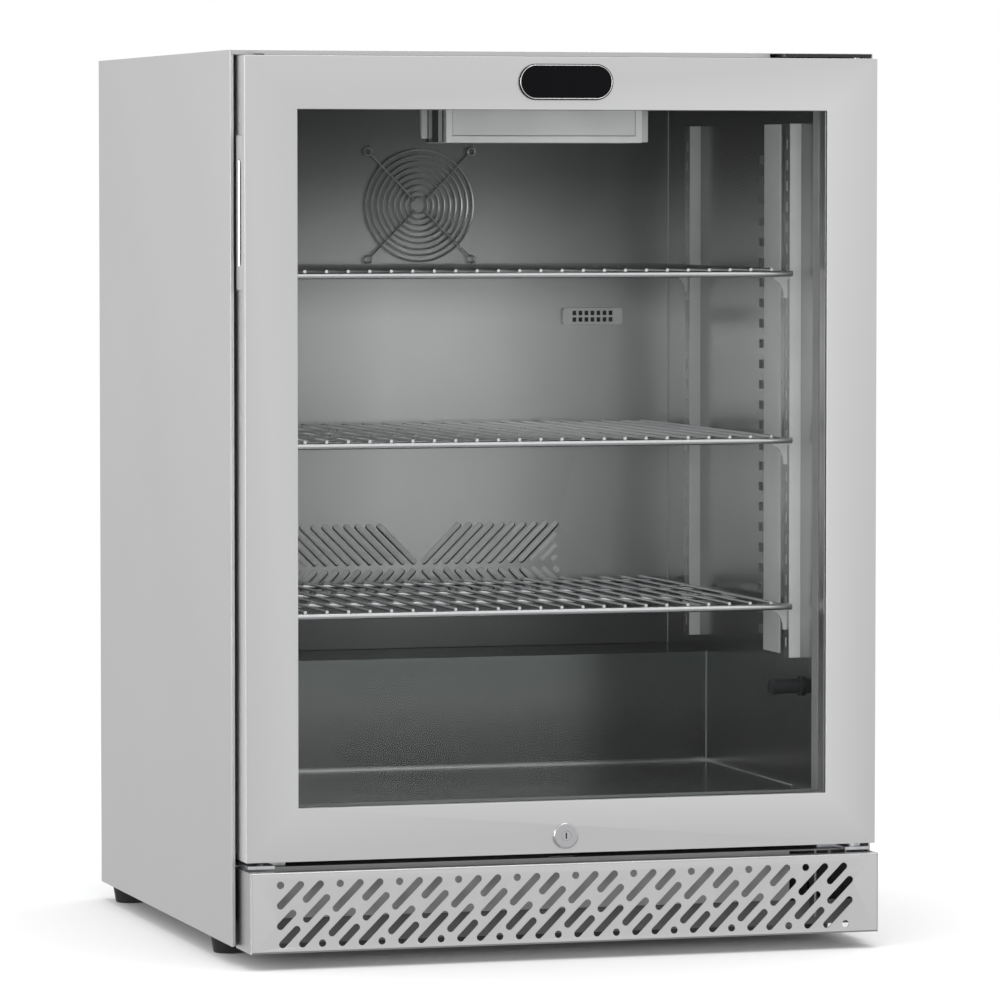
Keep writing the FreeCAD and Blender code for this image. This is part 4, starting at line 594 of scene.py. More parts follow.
def refined(node: str, finish: str, width: float = 0.4, body: str = "cabinet",
            segments: int = 2) -> Piece:
    """A node's shape with rounded edges and its finish, in the node's stead.

    Args:
        node: name of the node.
        finish: field name of the finish.
        width: rounding of the edges in millimetres.
        body: the body that it rides on.
        segments: faces across each rounding.

    Returns:
        The new piece.
    """
    piece = link_object(node + "_formed", merged_copy(node))
    soften(piece, width * MM, segments)
    return dress(piece, finish, body, [node])


def repaint(node: str, finish: str) -> None:
    """Give a node that stays as it is a better material."""
    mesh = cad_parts[node]
    material = PALETTE[finish]
    if not mesh.material_slots:
        mesh.data.materials.append(material)
    for place in mesh.material_slots:
        place.material = material
    LOG.info("%s: keeps its shape, finish %s", node, finish)


# ------------------------------------------------------------------ geometry node tools
class Tree:
    """A geometry node tree under construction."""

    def __init__(self, name: str, **sizes: str) -> None:
        """Start a tree with its inputs.

        Args:
            name: the tree's name.
            sizes: type of each named input, Float or Int, with spaces in names as underscores.
        """
        self.group = bpy.data.node_groups.new(name, "GeometryNodeTree")
        face = self.group.interface
        face.new_socket("Geometry", in_out="INPUT", socket_type="NodeSocketGeometry")
        face.new_socket("Geometry", in_out="OUTPUT", socket_type="NodeSocketGeometry")
        for key, kind in sizes.items():
            face.new_socket(key.replace("_", " "), in_out="INPUT", socket_type="NodeSocket" + kind)
        face.new_socket("Finish", in_out="INPUT", socket_type="NodeSocketMaterial")
        self.inputs = self.group.nodes.new("NodeGroupInput").outputs

    def add(self, kind: str, values: dict[str | int, object] | None = None,
            **settings: object) -> bpy.types.Node:
        """Add a node.

        Args:
            kind: the node's type, without its GeometryNode prefix, or in full.
            values: inputs by name or place, each a value or a socket to link.
            settings: attributes of the node.

        Returns:
            The new node.
        """
        full = kind if kind.startswith(("Shader", "Function")) else "GeometryNode" + kind
        node = self.group.nodes.new(full)
        for key, value in settings.items():
            setattr(node, key, value)
        for key, value in (values or {}).items():
            socket = node.inputs[key]
            if isinstance(value, Socket):
                self.group.links.new(value, socket)
            else:
                socket.default_value = value
        return node

    def math(self, operation: str, first: object, second: object = 0.0) -> Socket:
        """Arithmetic on two numbers or sockets."""
        return self.add("ShaderNodeMath", {0: first, 1: second}, operation=operation).outputs[0]

    def vector(self, x: object, y: object, z: object) -> Socket:
        """A vector from three numbers or sockets."""
        return self.add("ShaderNodeCombineXYZ", {0: x, 1: y, 2: z}).outputs[0]

    def attribute(self, name: str) -> Socket:
        """A number stored on the geometry under a name."""
        return self.add("InputNamedAttribute", {"Name": name}, data_type="FLOAT").outputs["Attribute"]

    def join(self, parts: Iterable[Socket]) -> Socket:
        """Several geometries as one."""
        node = self.add("JoinGeometry")
        for part in parts:
            self.group.links.new(part, node.inputs[0])
        return node.outputs[0]

    def rod(self, start: object, end: object, radius: object, sides: int = 12) -> Socket:
        """A straight round rod.

        Args:
            start: vector or socket.
            end: vector or socket.
            radius: number or socket.
            sides: faces around it.

        Returns:
            The rod's mesh.
        """
        line = self.add("CurvePrimitiveLine", {"Start": start, "End": end})
        return self.thick(line.outputs[0], radius, sides)

    def thick(self, curve: Socket, radius: object, sides: int) -> Socket:
        """A round wire along a curve."""
        profile = self.add("CurvePrimitiveCircle", {"Resolution": sides, "Radius": radius})
        return self.add("CurveToMesh", {"Curve": curve, "Profile Curve": profile.outputs[0],
                                        "Fill Caps": True}).outputs[0]

    def row(self, part: Socket, count: object, start: object, step: object,
            turn: object = (0.0, 0.0, 0.0), scale: object = (1.0, 1.0, 1.0)) -> Socket:
        """Copies of a part in a row.

        Args:
            part: the part's geometry.
            count: how many.
            start: place of the first.
            step: from one to the next.
            turn: rotation of each, as a vector of angles.
            scale: scale of each.

        Returns:
            The instances.
        """
        line = self.add("MeshLine", {"Count": count, "Start Location": start, "Offset": step})
        return self.add("InstanceOnPoints", {"Points": line.outputs[0], "Instance": part,
                                             "Rotation": turn, "Scale": scale}).outputs[0]

    def stretched(self, ring: Socket) -> Socket:
        """A round shape on every seed point, drawn out to that point's reach along its turn.

        Args:
            ring: a shape about the origin, with no point on its own Y axis.

        Returns:
            The realised shapes.
        """
        place = self.add("ShaderNodeSeparateXYZ", {0: self.add("InputPosition").outputs[0]})
        kept = self.add("CaptureAttribute", {0: ring}, domain="POINT")
        kept.capture_items.new("FLOAT", "side")
        self.group.links.new(self.math("SIGN", place.outputs["X"]), kept.inputs[1])
        turn = self.attribute("turn")
        copies = self.add("InstanceOnPoints", {"Points": self.inputs["Geometry"],
                                               "Instance": kept.outputs[0],
                                               "Rotation": self.vector(0.0, 0.0, turn)})
        real = self.add("RealizeInstances", {0: copies.outputs[0]})
        push = self.math("MULTIPLY", kept.outputs[1], self.attribute("reach"))
        across = self.math("MULTIPLY", push, self.math("COSINE", self.attribute("turn")))
        along = self.math("MULTIPLY", push, self.math("SINE", self.attribute("turn")))
        moved = self.add("SetPosition", {"Geometry": real.outputs[0],
                                         "Offset": self.vector(across, along, 0.0)})
        return moved.outputs[0]

    def close(self, geometry: Socket) -> None:
        """End the tree: real geometry with its finish."""
        real = self.add("RealizeInstances", {0: geometry})
        finished = self.add("SetMaterial", {"Geometry": real.outputs[0], "Material": self.inputs["Finish"]})
        output = self.group.nodes.new("NodeGroupOutput")
        self.group.links.new(finished.outputs[0], output.inputs[0])

    def grow(self, name: str, finish: str, seeds: Mesh | None = None, **sizes: float) -> Piece:
        """Run the tree and keep its result as a plain mesh.

        Args:
            name: the piece's name.
            finish: field name of its finish.
            seeds: the mesh that the tree starts from.
            sizes: value of each input, with spaces in names as underscores.

        Returns:
            The piece.
        """
        piece = link_object(name, seeds or bpy.data.meshes.new(name))
        modifier = piece.modifiers.new("nodes", "NODES")
        modifier.node_group = self.group
        values = {key.replace("_", " "): value for key, value in sizes.items()}
        values["Finish"] = PALETTE[finish]
        for item in self.group.interface.items_tree:
            if item.in_out == "INPUT" and item.name in values:
                modifier[item.identifier] = values[item.name]
        baked(piece)
        piece.data.materials.clear()
        piece.data.materials.append(PALETTE[finish])
        for face in piece.data.polygons:
            face.material_index = 0
        return piece


def seeds(places: Sequence[tuple[float, float, float, float]]) -> Mesh:
    """Points for the slot trees.

    Args:
        places: x, y, reach and turn of each, in metres and radians.

    Returns:
        A mesh of points that carry their reach and turn.
    """
    mesh = bpy.data.meshes.new("seeds")
    mesh.from_pydata([(x, y, 0.0) for x, y, _, _ in places], [], [])
    for column, key in ((2, "reach"), (3, "turn")):
        layer = mesh.attributes.new(key, "FLOAT", "POINT")
        layer.data.foreach_set("value", [place[column] for place in places])
    return mesh


def slotted_sheet_tree() -> Tree:
    """Flat sheet about the origin with a round-ended slot at every seed point."""
    tree = Tree("slotted_sheet", Width="Float", Height="Float", Thickness="Float", Slot_radius="Float")
    ring = tree.add("CurvePrimitiveCircle", {"Resolution": 22, "Radius": tree.inputs["Slot radius"]})
    slots = tree.stretched(ring.outputs[0])
    edge = tree.add("CurvePrimitiveQuadrilateral", {"Width": tree.inputs["Width"],
                                                    "Height": tree.inputs["Height"]})
    flat = tree.add("FillCurve", {0: tree.join((edge.outputs[0], slots))}, mode="NGONS").outputs[0]
    front = tree.add("ExtrudeMesh", {"Mesh": flat, "Offset Scale": tree.inputs["Thickness"],
                                     "Individual": False}).outputs[0]
    back = tree.add("FlipFaces", {0: flat}).outputs[0]
    whole = tree.add("MergeByDistance", {"Geometry": tree.join((front, back)), "Distance": 1e-6})
    tree.close(whole.outputs[0])
    return tree


def louvre_tree() -> Tree:
    """Pressed hood over every seed point."""
    tree = Tree("louvres", Hood_radius="Float", Flatness="Float")
    ball = tree.add("MeshUVSphere", {"Segments": 14, "Rings": 8, "Radius": tree.inputs["Hood radius"]})
    pressed = tree.add("Transform", {"Geometry": ball.outputs[0],
                                     "Scale": tree.vector(1.0, 1.0, tree.inputs["Flatness"])})
    tree.close(tree.stretched(pressed.outputs[0]))
    return tree


def shelf_tree() -> Tree:
    """Wire shelf: edge rods, cross rods, and wires laid over them from front to back."""
    cross_at, cross_gap, overhang = 0.36, 0.32, 1.0 * MM
    tree = Tree("wire_shelf", Half_width="Float", Side="Float", Depth="Float", Rod_radius="Float",
                Side_radius="Float", Wire_radius="Float", Pitch="Float", Over="Float", Count="Int")
    half, side, depth = (tree.inputs[key] for key in ("Half width", "Side", "Depth"))
    over, pitch, count = (tree.inputs[key] for key in ("Over", "Pitch", "Count"))
    rod = tree.rod(tree.vector(tree.math("MULTIPLY", half, -1.0), 0.0, 0.0), tree.vector(half, 0.0, 0.0),
                   tree.inputs["Rod radius"], 20)
    edges = tree.row(rod, 2, (0.0, 0.0, 0.0), tree.vector(0.0, depth, 0.0))
    flank = tree.rod((0.0, 0.0, 0.0), tree.vector(0.0, depth, 0.0), tree.inputs["Side radius"], 16)
    painted_shade_across = tree.row(flank, 2, tree.vector(tree.math("MULTIPLY", side, -1.0), 0.0, 0.0),
                      tree.vector(tree.math("MULTIPLY", side, 2.0), 0.0, 0.0))
    under = tree.math("SUBTRACT", over, tree.math("ADD", tree.inputs["Wire radius"],
                                                  tree.inputs["Side radius"]))
    cross = tree.rod(tree.vector(tree.math("MULTIPLY", side, -1.0), 0.0, 0.0), tree.vector(side, 0.0, 0.0),
                     tree.inputs["Side radius"], 16)
    crosses = tree.row(cross, 2, tree.vector(0.0, tree.math("MULTIPLY", depth, cross_at), under),
                       tree.vector(0.0, tree.math("MULTIPLY", depth, cross_gap), 0.0))
    wire = tree.rod((0.0, -overhang, 0.0), tree.vector(0.0, tree.math("ADD", depth, overhang), 0.0),
                    tree.inputs["Wire radius"], 12)
    first = tree.math("MULTIPLY", tree.math("MULTIPLY", tree.math("SUBTRACT", count, 1.0), pitch), -0.5)
    wires = tree.row(wire, count, tree.vector(first, 0.0, over), tree.vector(pitch, 0.0, 0.0))
    tree.close(tree.join((edges, painted_shade_across, crosses, wires)))
    return tree


def painted_slot_shade_tree() -> Tree:
    """Two facing columns of flat dark marks: painted shade of slots."""
    tree = Tree("painted_slot_shades", Count="Int", Pitch="Float", Width="Float", Height="Float",
                Thickness="Float", Span="Float")
    size = tree.vector(*(tree.inputs[key] for key in ("Thickness", "Width", "Height")))
    mark = tree.add("MeshCube", {"Size": size}).outputs[0]
    pair = tree.row(mark, 2, tree.vector(tree.math("MULTIPLY", tree.inputs["Span"], -0.5), 0.0, 0.0),
                    tree.vector(tree.inputs["Span"], 0.0, 0.0))
    tree.close(tree.row(pair, tree.inputs["Count"], (0.0, 0.0, 0.0),
                        tree.vector(0.0, 0.0, tree.inputs["Pitch"])))
    return tree


def bead_tree() -> Tree:
    """Round bead along every chain of edges of its seed mesh."""
    tree = Tree("bead", Wire_radius="Float")
    curve = tree.add("MeshToCurve", {0: tree.inputs["Geometry"]}).outputs[0]
    tree.close(tree.thick(curve, tree.inputs["Wire radius"], 8))
    return tree


def screw_tree() -> Tree:
    """Domed screw head with a cross recess on every seed point, each with its own spin."""
    tree = Tree("screw_heads", Head_radius="Float", Height="Float", Seed="Int")
    radius, height = tree.inputs["Head radius"], tree.inputs["Height"]
    ball = tree.add("MeshUVSphere", {"Segments": 28, "Rings": 14, "Radius": radius})
    dome = tree.add("Transform", {"Geometry": ball.outputs[0], "Scale": tree.vector(
        1.0, 1.0, tree.math("DIVIDE", height, radius))})
    arm = tree.vector(tree.math("MULTIPLY", radius, 1.1), tree.math("MULTIPLY", radius, 0.24), height)
    bar = tree.add("MeshCube", {"Size": arm})
    lift = tree.vector(0.0, 0.0, height)
    along = tree.add("Transform", {"Geometry": bar.outputs[0], "Translation": lift})
    across = tree.add("Transform", {"Geometry": bar.outputs[0], "Translation": lift,
                                    "Rotation": (0.0, 0.0, math.pi / 2)})
    cut = tree.add("MeshBoolean", {0: dome.outputs[0]}, operation="DIFFERENCE", solver="EXACT")
    for part in (along, across):
        tree.group.links.new(part.outputs[0], cut.inputs[1])
    spin = tree.add("FunctionNodeRandomValue", {"Seed": tree.inputs["Seed"]}, data_type="FLOAT")
    turn = tree.vector(0.0, 0.0, tree.math("MULTIPLY", [socket for socket in spin.outputs
                                                        if socket.enabled][0], math.pi / 2))
    copies = tree.add("InstanceOnPoints", {"Points": tree.inputs["Geometry"], "Instance": cut.outputs[0],
                                           "Rotation": turn})
    tree.close(copies.outputs[0])
    return tree


def guard_tree() -> Tree:
    """Fan guard in the XY plane: rings on four diagonal spokes that end in screw loops."""
    tree = Tree("fan_guard", Rings="Int", Inner="Float", Step="Float", Wire_radius="Float",
                Spoke_end="Float", Loop_radius="Float")
    wire = tree.inputs["Wire radius"]
    unit = tree.add("CurvePrimitiveCircle", {"Resolution": 56, "Radius": 1.0}).outputs[0]
    index = tree.add("InputIndex").outputs[0]
    size = tree.math("ADD", tree.math("MULTIPLY", index, tree.inputs["Step"]), tree.inputs["Inner"])
    circles = tree.row(unit, tree.inputs["Rings"], (0.0, 0.0, 0.0), (0.0, 0.0, 0.0),
                       scale=tree.vector(size, size, size))
    rings = tree.thick(tree.add("RealizeInstances", {0: circles}).outputs[0], wire, 8)
    lift = tree.math("MULTIPLY", wire, 1.3)
    spoke = tree.rod(tree.vector(tree.math("SUBTRACT", tree.inputs["Inner"], 0.001), 0.0, lift),
                     tree.vector(tree.inputs["Spoke end"], 0.0, lift), wire, 8)
    loop = tree.add("CurvePrimitiveCircle", {"Resolution": 24, "Radius": tree.inputs["Loop radius"]})
    reach = tree.math("ADD", tree.inputs["Spoke end"], tree.inputs["Loop radius"])
    eye = tree.row(tree.thick(loop.outputs[0], wire, 8), 1, tree.vector(reach, 0.0, lift), (0.0, 0.0, 0.0))
    quarter = tree.math("ADD", tree.math("MULTIPLY", index, math.pi / 2), math.pi / 4)
    spokes = tree.row(tree.join((spoke, eye)), 4, (0.0, 0.0, 0.0), (0.0, 0.0, 0.0),
                      turn=tree.vector(0.0, 0.0, quarter))
    tree.close(tree.join((rings, spokes)))
    return tree


def slab(name: str, low: Triple, high: Triple, finish: str) -> Piece:
    """A rectangular block.

    Args:
        name: the block's name.
        low: its low corner.
        high: its high corner.
        finish: field name of its finish.

    Returns:
        The block.
    """
    shape = bmesh.new()
    bmesh.ops.create_cube(shape, size=1.0)
    middle = (Vector(low) + Vector(high)) / 2
    for vertex in shape.verts:
        for axis in range(3):
            vertex.co[axis] = middle[axis] + vertex.co[axis] * (high[axis] - low[axis])
    mesh = bpy.data.meshes.new(name)
    shape.to_mesh(mesh)
    shape.free()
    mesh.materials.append(PALETTE[finish])
    return link_object(name, mesh)


def islands(mesh: Mesh) -> list[tuple[Vector, Vector]]:
    """Boxes of a mesh's separate parts.

    Args:
        mesh: the mesh, which is removed.

    Returns:
        The low and high corner of each part.
    """
    shape = bmesh.new()
    shape.from_mesh(mesh)
    bpy.data.meshes.remove(mesh)
    waiting = set(shape.verts)
    found = []
    while waiting:
        group, edge = set(), [waiting.pop()]
        while edge:
            vertex = edge.pop()
            group.add(vertex)
            for link in vertex.link_edges:
                other = link.other_vert(vertex)
                if other in waiting:
                    waiting.discard(other)
                    edge.append(other)
        places = [vertex.co for vertex in group]
        found.append((Vector([min(place[axis] for place in places) for axis in range(3)]),
                      Vector([max(place[axis] for place in places) for axis in range(3)])))
    shape.free()
    return sorted(found, key=lambda box: (round(box[0].z, 4), round(box[0].x, 4)))


def placed(piece: Piece, place: Triple, turn: Matrix | None = None) -> Piece:
    """Move a piece's mesh, with its object left at the origin.

    Args:
        piece: the object.
        place: where its own origin goes.
        turn: rotation before the move.

    Returns:
        The same object.
    """
    matrix = Matrix.Translation(place)
    piece.data.transform(matrix @ turn if turn else matrix)
    return piece


UPRIGHT = Matrix.Rotation(math.radians(90.0), 4, "X")
GRILLE_MIDDLE = (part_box("kick_grille")[0].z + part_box("kick_grille")[1].z) / 2


def fold(name: str, points: Sequence[tuple[float, float]], start: float, end: float, along: str,
         thickness: float) -> Piece:
    """A folded strip of sheet.

    Args:
        name: the strip's name.
        points: its section, as (across, Y) pairs on the outside of the fold.
        start: where it begins along its length.
        end: where it ends.
        along: "X" or "Z", the axis of its length.
        thickness: the sheet's thickness, inward.

    Returns:
        The strip.
    """
    corners = []
    for across, y in points:
        for far in (start, end):
            corners.append((across, y, far) if along == "Z" else (far, y, across))
    faces = [(2 * k, 2 * k + 1, 2 * k + 3, 2 * k + 2) for k in range(len(points) - 1)]
    mesh = bpy.data.meshes.new(name)
    mesh.from_pydata(corners, [], faces)
    strip = link_object(name, mesh)
    middle = sum((Vector(corner) for corner in corners), Vector()) / len(corners)
    shape = bmesh.new()
    shape.from_mesh(mesh)
    outward = (Vector((middle.x, 0.0, 0.0)) if along == "Z"
               else Vector((0.0, 0.0, middle.z - GRILLE_MIDDLE)))
    shape.faces.ensure_lookup_table()
    if shape.faces[-1].normal.dot(outward) < 0.0:
        bmesh.ops.reverse_faces(shape, faces=shape.faces)
    shape.to_mesh(mesh)
    shape.free()
    solid = strip.modifiers.new("sheet", "SOLIDIFY")
    solid.thickness = thickness
    solid.offset = -1.0
    return baked(strip)


def joined(pieces: Sequence[Piece], name: str) -> Piece:
    """Several plain pieces as one.

    Args:
        pieces: the objects, all at the origin.
        name: the result's name.

    Returns:
        The joined object.
    """
    shape = bmesh.new()
    mesh = bpy.data.meshes.new(name)
    finishes: list[bpy.types.Material] = []
    for piece in pieces:
        first = len(shape.faces)
        shape.from_mesh(piece.data)
        shape.faces.ensure_lookup_table()
        material = piece.data.materials[0]
        if material not in finishes:
            finishes.append(material)
            mesh.materials.append(material)
        for face in shape.faces[first:]:
            face.material_index = finishes.index(material)
        bpy.data.objects.remove(piece)
    shape.to_mesh(mesh)
    shape.free()
    return link_object(name, mesh)


# ------------------------------------------------------------------ sub-assemblies
@dataclass
class Cabinet:
    """Outer shell, liner, insulation and the rail behind the kick grille."""

    sheet_edge: float = 0.45
    sheet: float = 1.0 * MM
    seam: float = 0.5 * MM
    seam_sink: float = 0.3
    seam_start: float = 60.0 * MM
    step_front: float = 93.0 * MM
    screw_height: float = 2.2 * MM
    screw_seed: int = 7
    side_edge: float = 0.7
    liner_edge: float = 1.2
    strip: float = 1.5 * MM
    strip_inset: float = 0.5 * MM
    strip_reach: float = 8.0 * MM
    strip_bevel: float = 0.3 * MM

    def build(self) -> None:
        """Make the shell's pieces."""
        for side in ("left", "right"):
            refined(f"side_panel_{side}", "cabinet", self.side_edge, segments=3)
        refined("top_panel", "cabinet", self.sheet_edge)
        refined("back_panel", "galvanised", 0.2)
        refined("rear_vent_cover", "galvanised", 0.15)
        refined("front_frame", "breaker", 0.2)
        refined("front_rail", "rail", 0.25)
        refined("inner_liner", "liner", self.liner_edge, segments=3)
        repaint("machine_bay_divider", "galvanised")
        # The base tray in dark grey: painted shade through the grille's lower slots.
        repaint("base_tray", "painted_slot_shade")
        repaint("insulation_foam", "foam")
        self.seams()
        self.screws()
        self.edge_strip()

    def edge_strip(self) -> None:
        """Make the strip that thickens the left side panel's front edge, inside the door's gap."""
        low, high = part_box("side_panel_left")
        inset = self.strip_inset
        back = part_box("door_frame")[1].y + self.strip_reach
        strip = slab("edge_strip", (high.x, low.y + inset, low.z + inset),
                     (high.x + self.strip, back, high.z - inset), "cabinet")
        soften(strip, self.strip_bevel)
        dress(strip, "cabinet", "cabinet", [])

    def seams(self) -> None:
        """Make the thin sealed seams where the liner's sheets meet."""
        low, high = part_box("inner_liner")
        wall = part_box("shelf_standards")[1].x
        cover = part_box("evaporator_cover")
        floor, front, step, back = low.z + self.sheet, low.y, self.step_front, cover[0].y
        corners, edges = [], []
        for side in (-wall, wall):
            inset = side - math.copysign(self.seam * self.seam_sink, side)
            for start, end in (((step, floor), (step, cover[0].z)), ((back, cover[0].z), (back, cover[1].z)),
                               ((front + self.seam_start, floor), (step, floor))):
                edges.append((len(corners), len(corners) + 1))
                corners += [(inset, start[0], start[1]), (inset, end[0], end[1])]
        mesh = bpy.data.meshes.new("liner_seam_path")
        mesh.from_pydata(corners, edges, [])
        seams = bead_tree().grow("liner_seams", "seam", mesh, Wire_radius=self.seam)
        soften(seams, 0.0)
        dress(seams, "seam", "cabinet", [])

    def screws(self) -> None:
        """Make the back panel's screws."""
        places = islands(merged_copy("panel_screws"))
        front = max(high.y for _, high in places)
        radius = max(high.x - low.x for low, high in places) / 2
        heads = screw_tree().grow(
            "back_screw_heads", "zinc",
            seeds([((low.x + high.x) / 2, -(low.z + high.z) / 2, 0.0, 0.0) for low, high in places]),
            Head_radius=radius, Height=self.screw_height, Seed=self.screw_seed)
        placed(heads, (0.0, front - self.screw_height, 0.0), UPRIGHT.inverted())
        soften(heads, 0.0)
        dress(heads, "zinc", "cabinet", ["panel_screws"])


@dataclass
class KickGrille:
    """Ventilated grille in front of the machine bay: a slotted face with folded edges."""

    sheet: float = 1.2 * MM
    bend: float = 1.6 * MM
    bend_steps: int = 5
    side_return: float = 53.0 * MM
    flange: float = 12.0 * MM
    slot_radius: float = 3.3 * MM
    unit: float = 54.4 * MM
    margin: float = 27.2 * MM
    top_margin: float = 11.0 * MM
    run: float = 52.4 * MM
    edge: float = 0.25 * MM

    def lines(self) -> tuple[tuple[tuple[float, float], ...], ...]:
        """Slots of one repeat: for each of its three lines, start and end down from the top."""
        return (
            ((0.0, 0.0), (12.4 * MM, 30.6 * MM), (39.6 * MM, self.run)),
            ((0.0, 21.8 * MM), (30.8 * MM, self.run)),
            ((0.0, 12.8 * MM), (25.2 * MM, 43.6 * MM), (self.run, self.run)),
        )

    def slots(self, half: float, top: float) -> list[tuple[float, float, float, float]]:
        """Seeds of the slanted slots, kept inside the plain margins.

        Args:
            half: half the face's width.
            top: height of the face's top edge.

        Returns:
            x, z, reach and turn of each slot.
        """
        edge = half - self.margin
        pitch = self.unit / 3
        found = []
        for index in range(int((2 * edge + self.run) / pitch) + 1):
            line = index * pitch - edge
            for start, end in self.lines()[index % 3]:
                first, last = max(start, line - edge), min(end, line + edge)
                if first > last or (start != end and last - first < 2 * self.slot_radius):
                    continue
                middle = (first + last) / 2
                found.append((line - middle, top - self.top_margin - middle,
                              (last - first) / math.sqrt(2.0), SLANT))
        return found

    def corner(self, side: float, edge: float, front: float, back: float) -> list[tuple[float, float]]:
        """Section of a folded edge.

        Args:
            side: 1 or -1, the way that it faces.
            edge: the face's outer edge on that side.
            front: Y of the face.
            back: Y of the fold's end.

        Returns:
            (across, Y) points from the face, round the bend and back.
        """
        arc = []
        for step in range(self.bend_steps + 1):
            angle = math.radians(90.0) * step / self.bend_steps
            arc.append((edge - side * self.bend * (1.0 - math.sin(angle)),
                        front + self.bend * (1.0 - math.cos(angle))))
        return arc + [(edge, back)]

    def build(self) -> None:
        """Make the grille."""
        low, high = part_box("kick_grille")
        middle = (low.z + high.z) / 2
        face = slotted_sheet_tree().grow(
            "grille_face", "grille", seeds([(x, z - middle, reach, turn)
                                            for x, z, reach, turn in self.slots(high.x, high.z)]),
            Width=2 * (high.x - self.bend), Height=high.z - low.z - 2 * self.bend,
            Thickness=self.sheet, Slot_radius=self.slot_radius)
        pieces = [placed(face, (0.0, low.y + self.sheet, middle), UPRIGHT)]
        for side in (-1.0, 1.0):
            section = self.corner(side, side * high.x, low.y, low.y + self.side_return)
            pieces.append(fold("grille_return", section, low.z, high.z, "Z", self.sheet))
        for side, edge in ((-1.0, low.z), (1.0, high.z)):
            section = self.corner(side, edge, low.y, low.y + self.flange)
            pieces.append(fold("grille_flange", section, low.x + self.bend, high.x - self.bend, "X",
                               self.sheet))
        # The folded edges take the darker cabinet steel: painted shade on the grille's returns and flanges.
        for strip in pieces[1:]:
            strip.data.materials.append(PALETTE["cabinet"])
        grille = joined(pieces, "kick_grille_folded")
        shape = bmesh.new()
        shape.from_mesh(grille.data)
        bmesh.ops.remove_doubles(shape, verts=shape.verts, dist=5 * WELD)
        shape.to_mesh(grille.data)
        shape.free()
        soften(grille, self.edge)
        dress(grille, "grille", "cabinet", ["kick_grille"])


@dataclass
class Door:
    """Door with its glass, gasket, grip, badge and lock."""

    edge: float = 0.6
    rim_steps: int = 58
    rim_inset: float = 1.2 * MM
    rim_radius: float = 0.45 * MM
    rim_sink: float = 0.3
    bar_radius: float = 1.1 * MM
    bar_below: float = 21.0 * MM
    bar_above: float = 22.0 * MM

    def build(self) -> None:
        """Make the door's pieces."""
        refined("door_frame", "door", self.edge, body="door", segments=3)
        refined("door_liner", "panel", 0.3, body="door")
        refined("glass_spacer", "spacer", 0.2, body="door")
        refined("door_gasket", "gasket", 0.8, body="door")
        refined("handle_grip", "grey_plastic", 0.5, body="door")
        self.grip_bar()
        refined("door_badge", "badge", 0.3, body="door")
        self.badge_rim()
        refined("lock_body", "chrome", 0.3, body="door")
        refined("lock_cam", "chrome", 0.2, body="lock")
        refined("hinge_bushes", "black_plastic", 0.2, body="door")
        refined("hinge_hole_plugs", "black_plastic", 0.3, body="door")
        for node in ("outer_glass", "inner_glass"):
            refined(node, "glass", 0.0, body="door")
        repaint("door_foam", "foam")

    def grip_bar(self) -> None:
        """Make the bright bar in the grip's recess."""
        low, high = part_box("handle_grip")
        middle = (low.y + high.y) / 2
        mesh = bpy.data.meshes.new("grip_bar_path")
        mesh.from_pydata([(low.x, middle, low.z + self.bar_below), (low.x, middle, high.z - self.bar_above)],
                         [(0, 1)], [])
        bar = bead_tree().grow("grip_bar", "bright", mesh, Wire_radius=self.bar_radius)
        soften(bar, 0.0)
        dress(bar, "bright", "door", [])

    def badge_rim(self) -> None:
        """Make the bright line around the badge."""
        low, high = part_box("door_badge")
        radius = (high.z - low.z) / 2
        middle = (low + high) / 2
        reach = (high.x - low.x) / 2 - radius
        path = []
        for index in range(self.rim_steps):
            angle = 2 * math.pi * (index + 0.5) / self.rim_steps
            side = 1.0 if math.cos(angle) > 0.0 else -1.0
            path.append((middle.x + side * reach + (radius - self.rim_inset) * math.cos(angle),
                         low.y - self.rim_radius * self.rim_sink,
                         middle.z + (radius - self.rim_inset) * math.sin(angle)))
        mesh = bpy.data.meshes.new("badge_rim_path")
        mesh.from_pydata(path, [(k, (k + 1) % len(path)) for k in range(len(path))], [])
        rim = bead_tree().grow("door_badge_rim", "bright", mesh, Wire_radius=self.rim_radius)
        rim.data.shade_smooth()
        dress(rim, "bright", "door", [])


@dataclass
class Hinges:
    """Hinge plate, brackets, pins and their screws."""

    edge: float = 0.4

    def build(self) -> None:
        """Make the hinge pieces."""
        refined("top_hinge_plate", "black_steel", self.edge)
        for node in ("bottom_hinge_bracket", "spare_hinge_bracket", "hinge_pins", "hinge_screws"):
            refined(node, "zinc", self.edge)


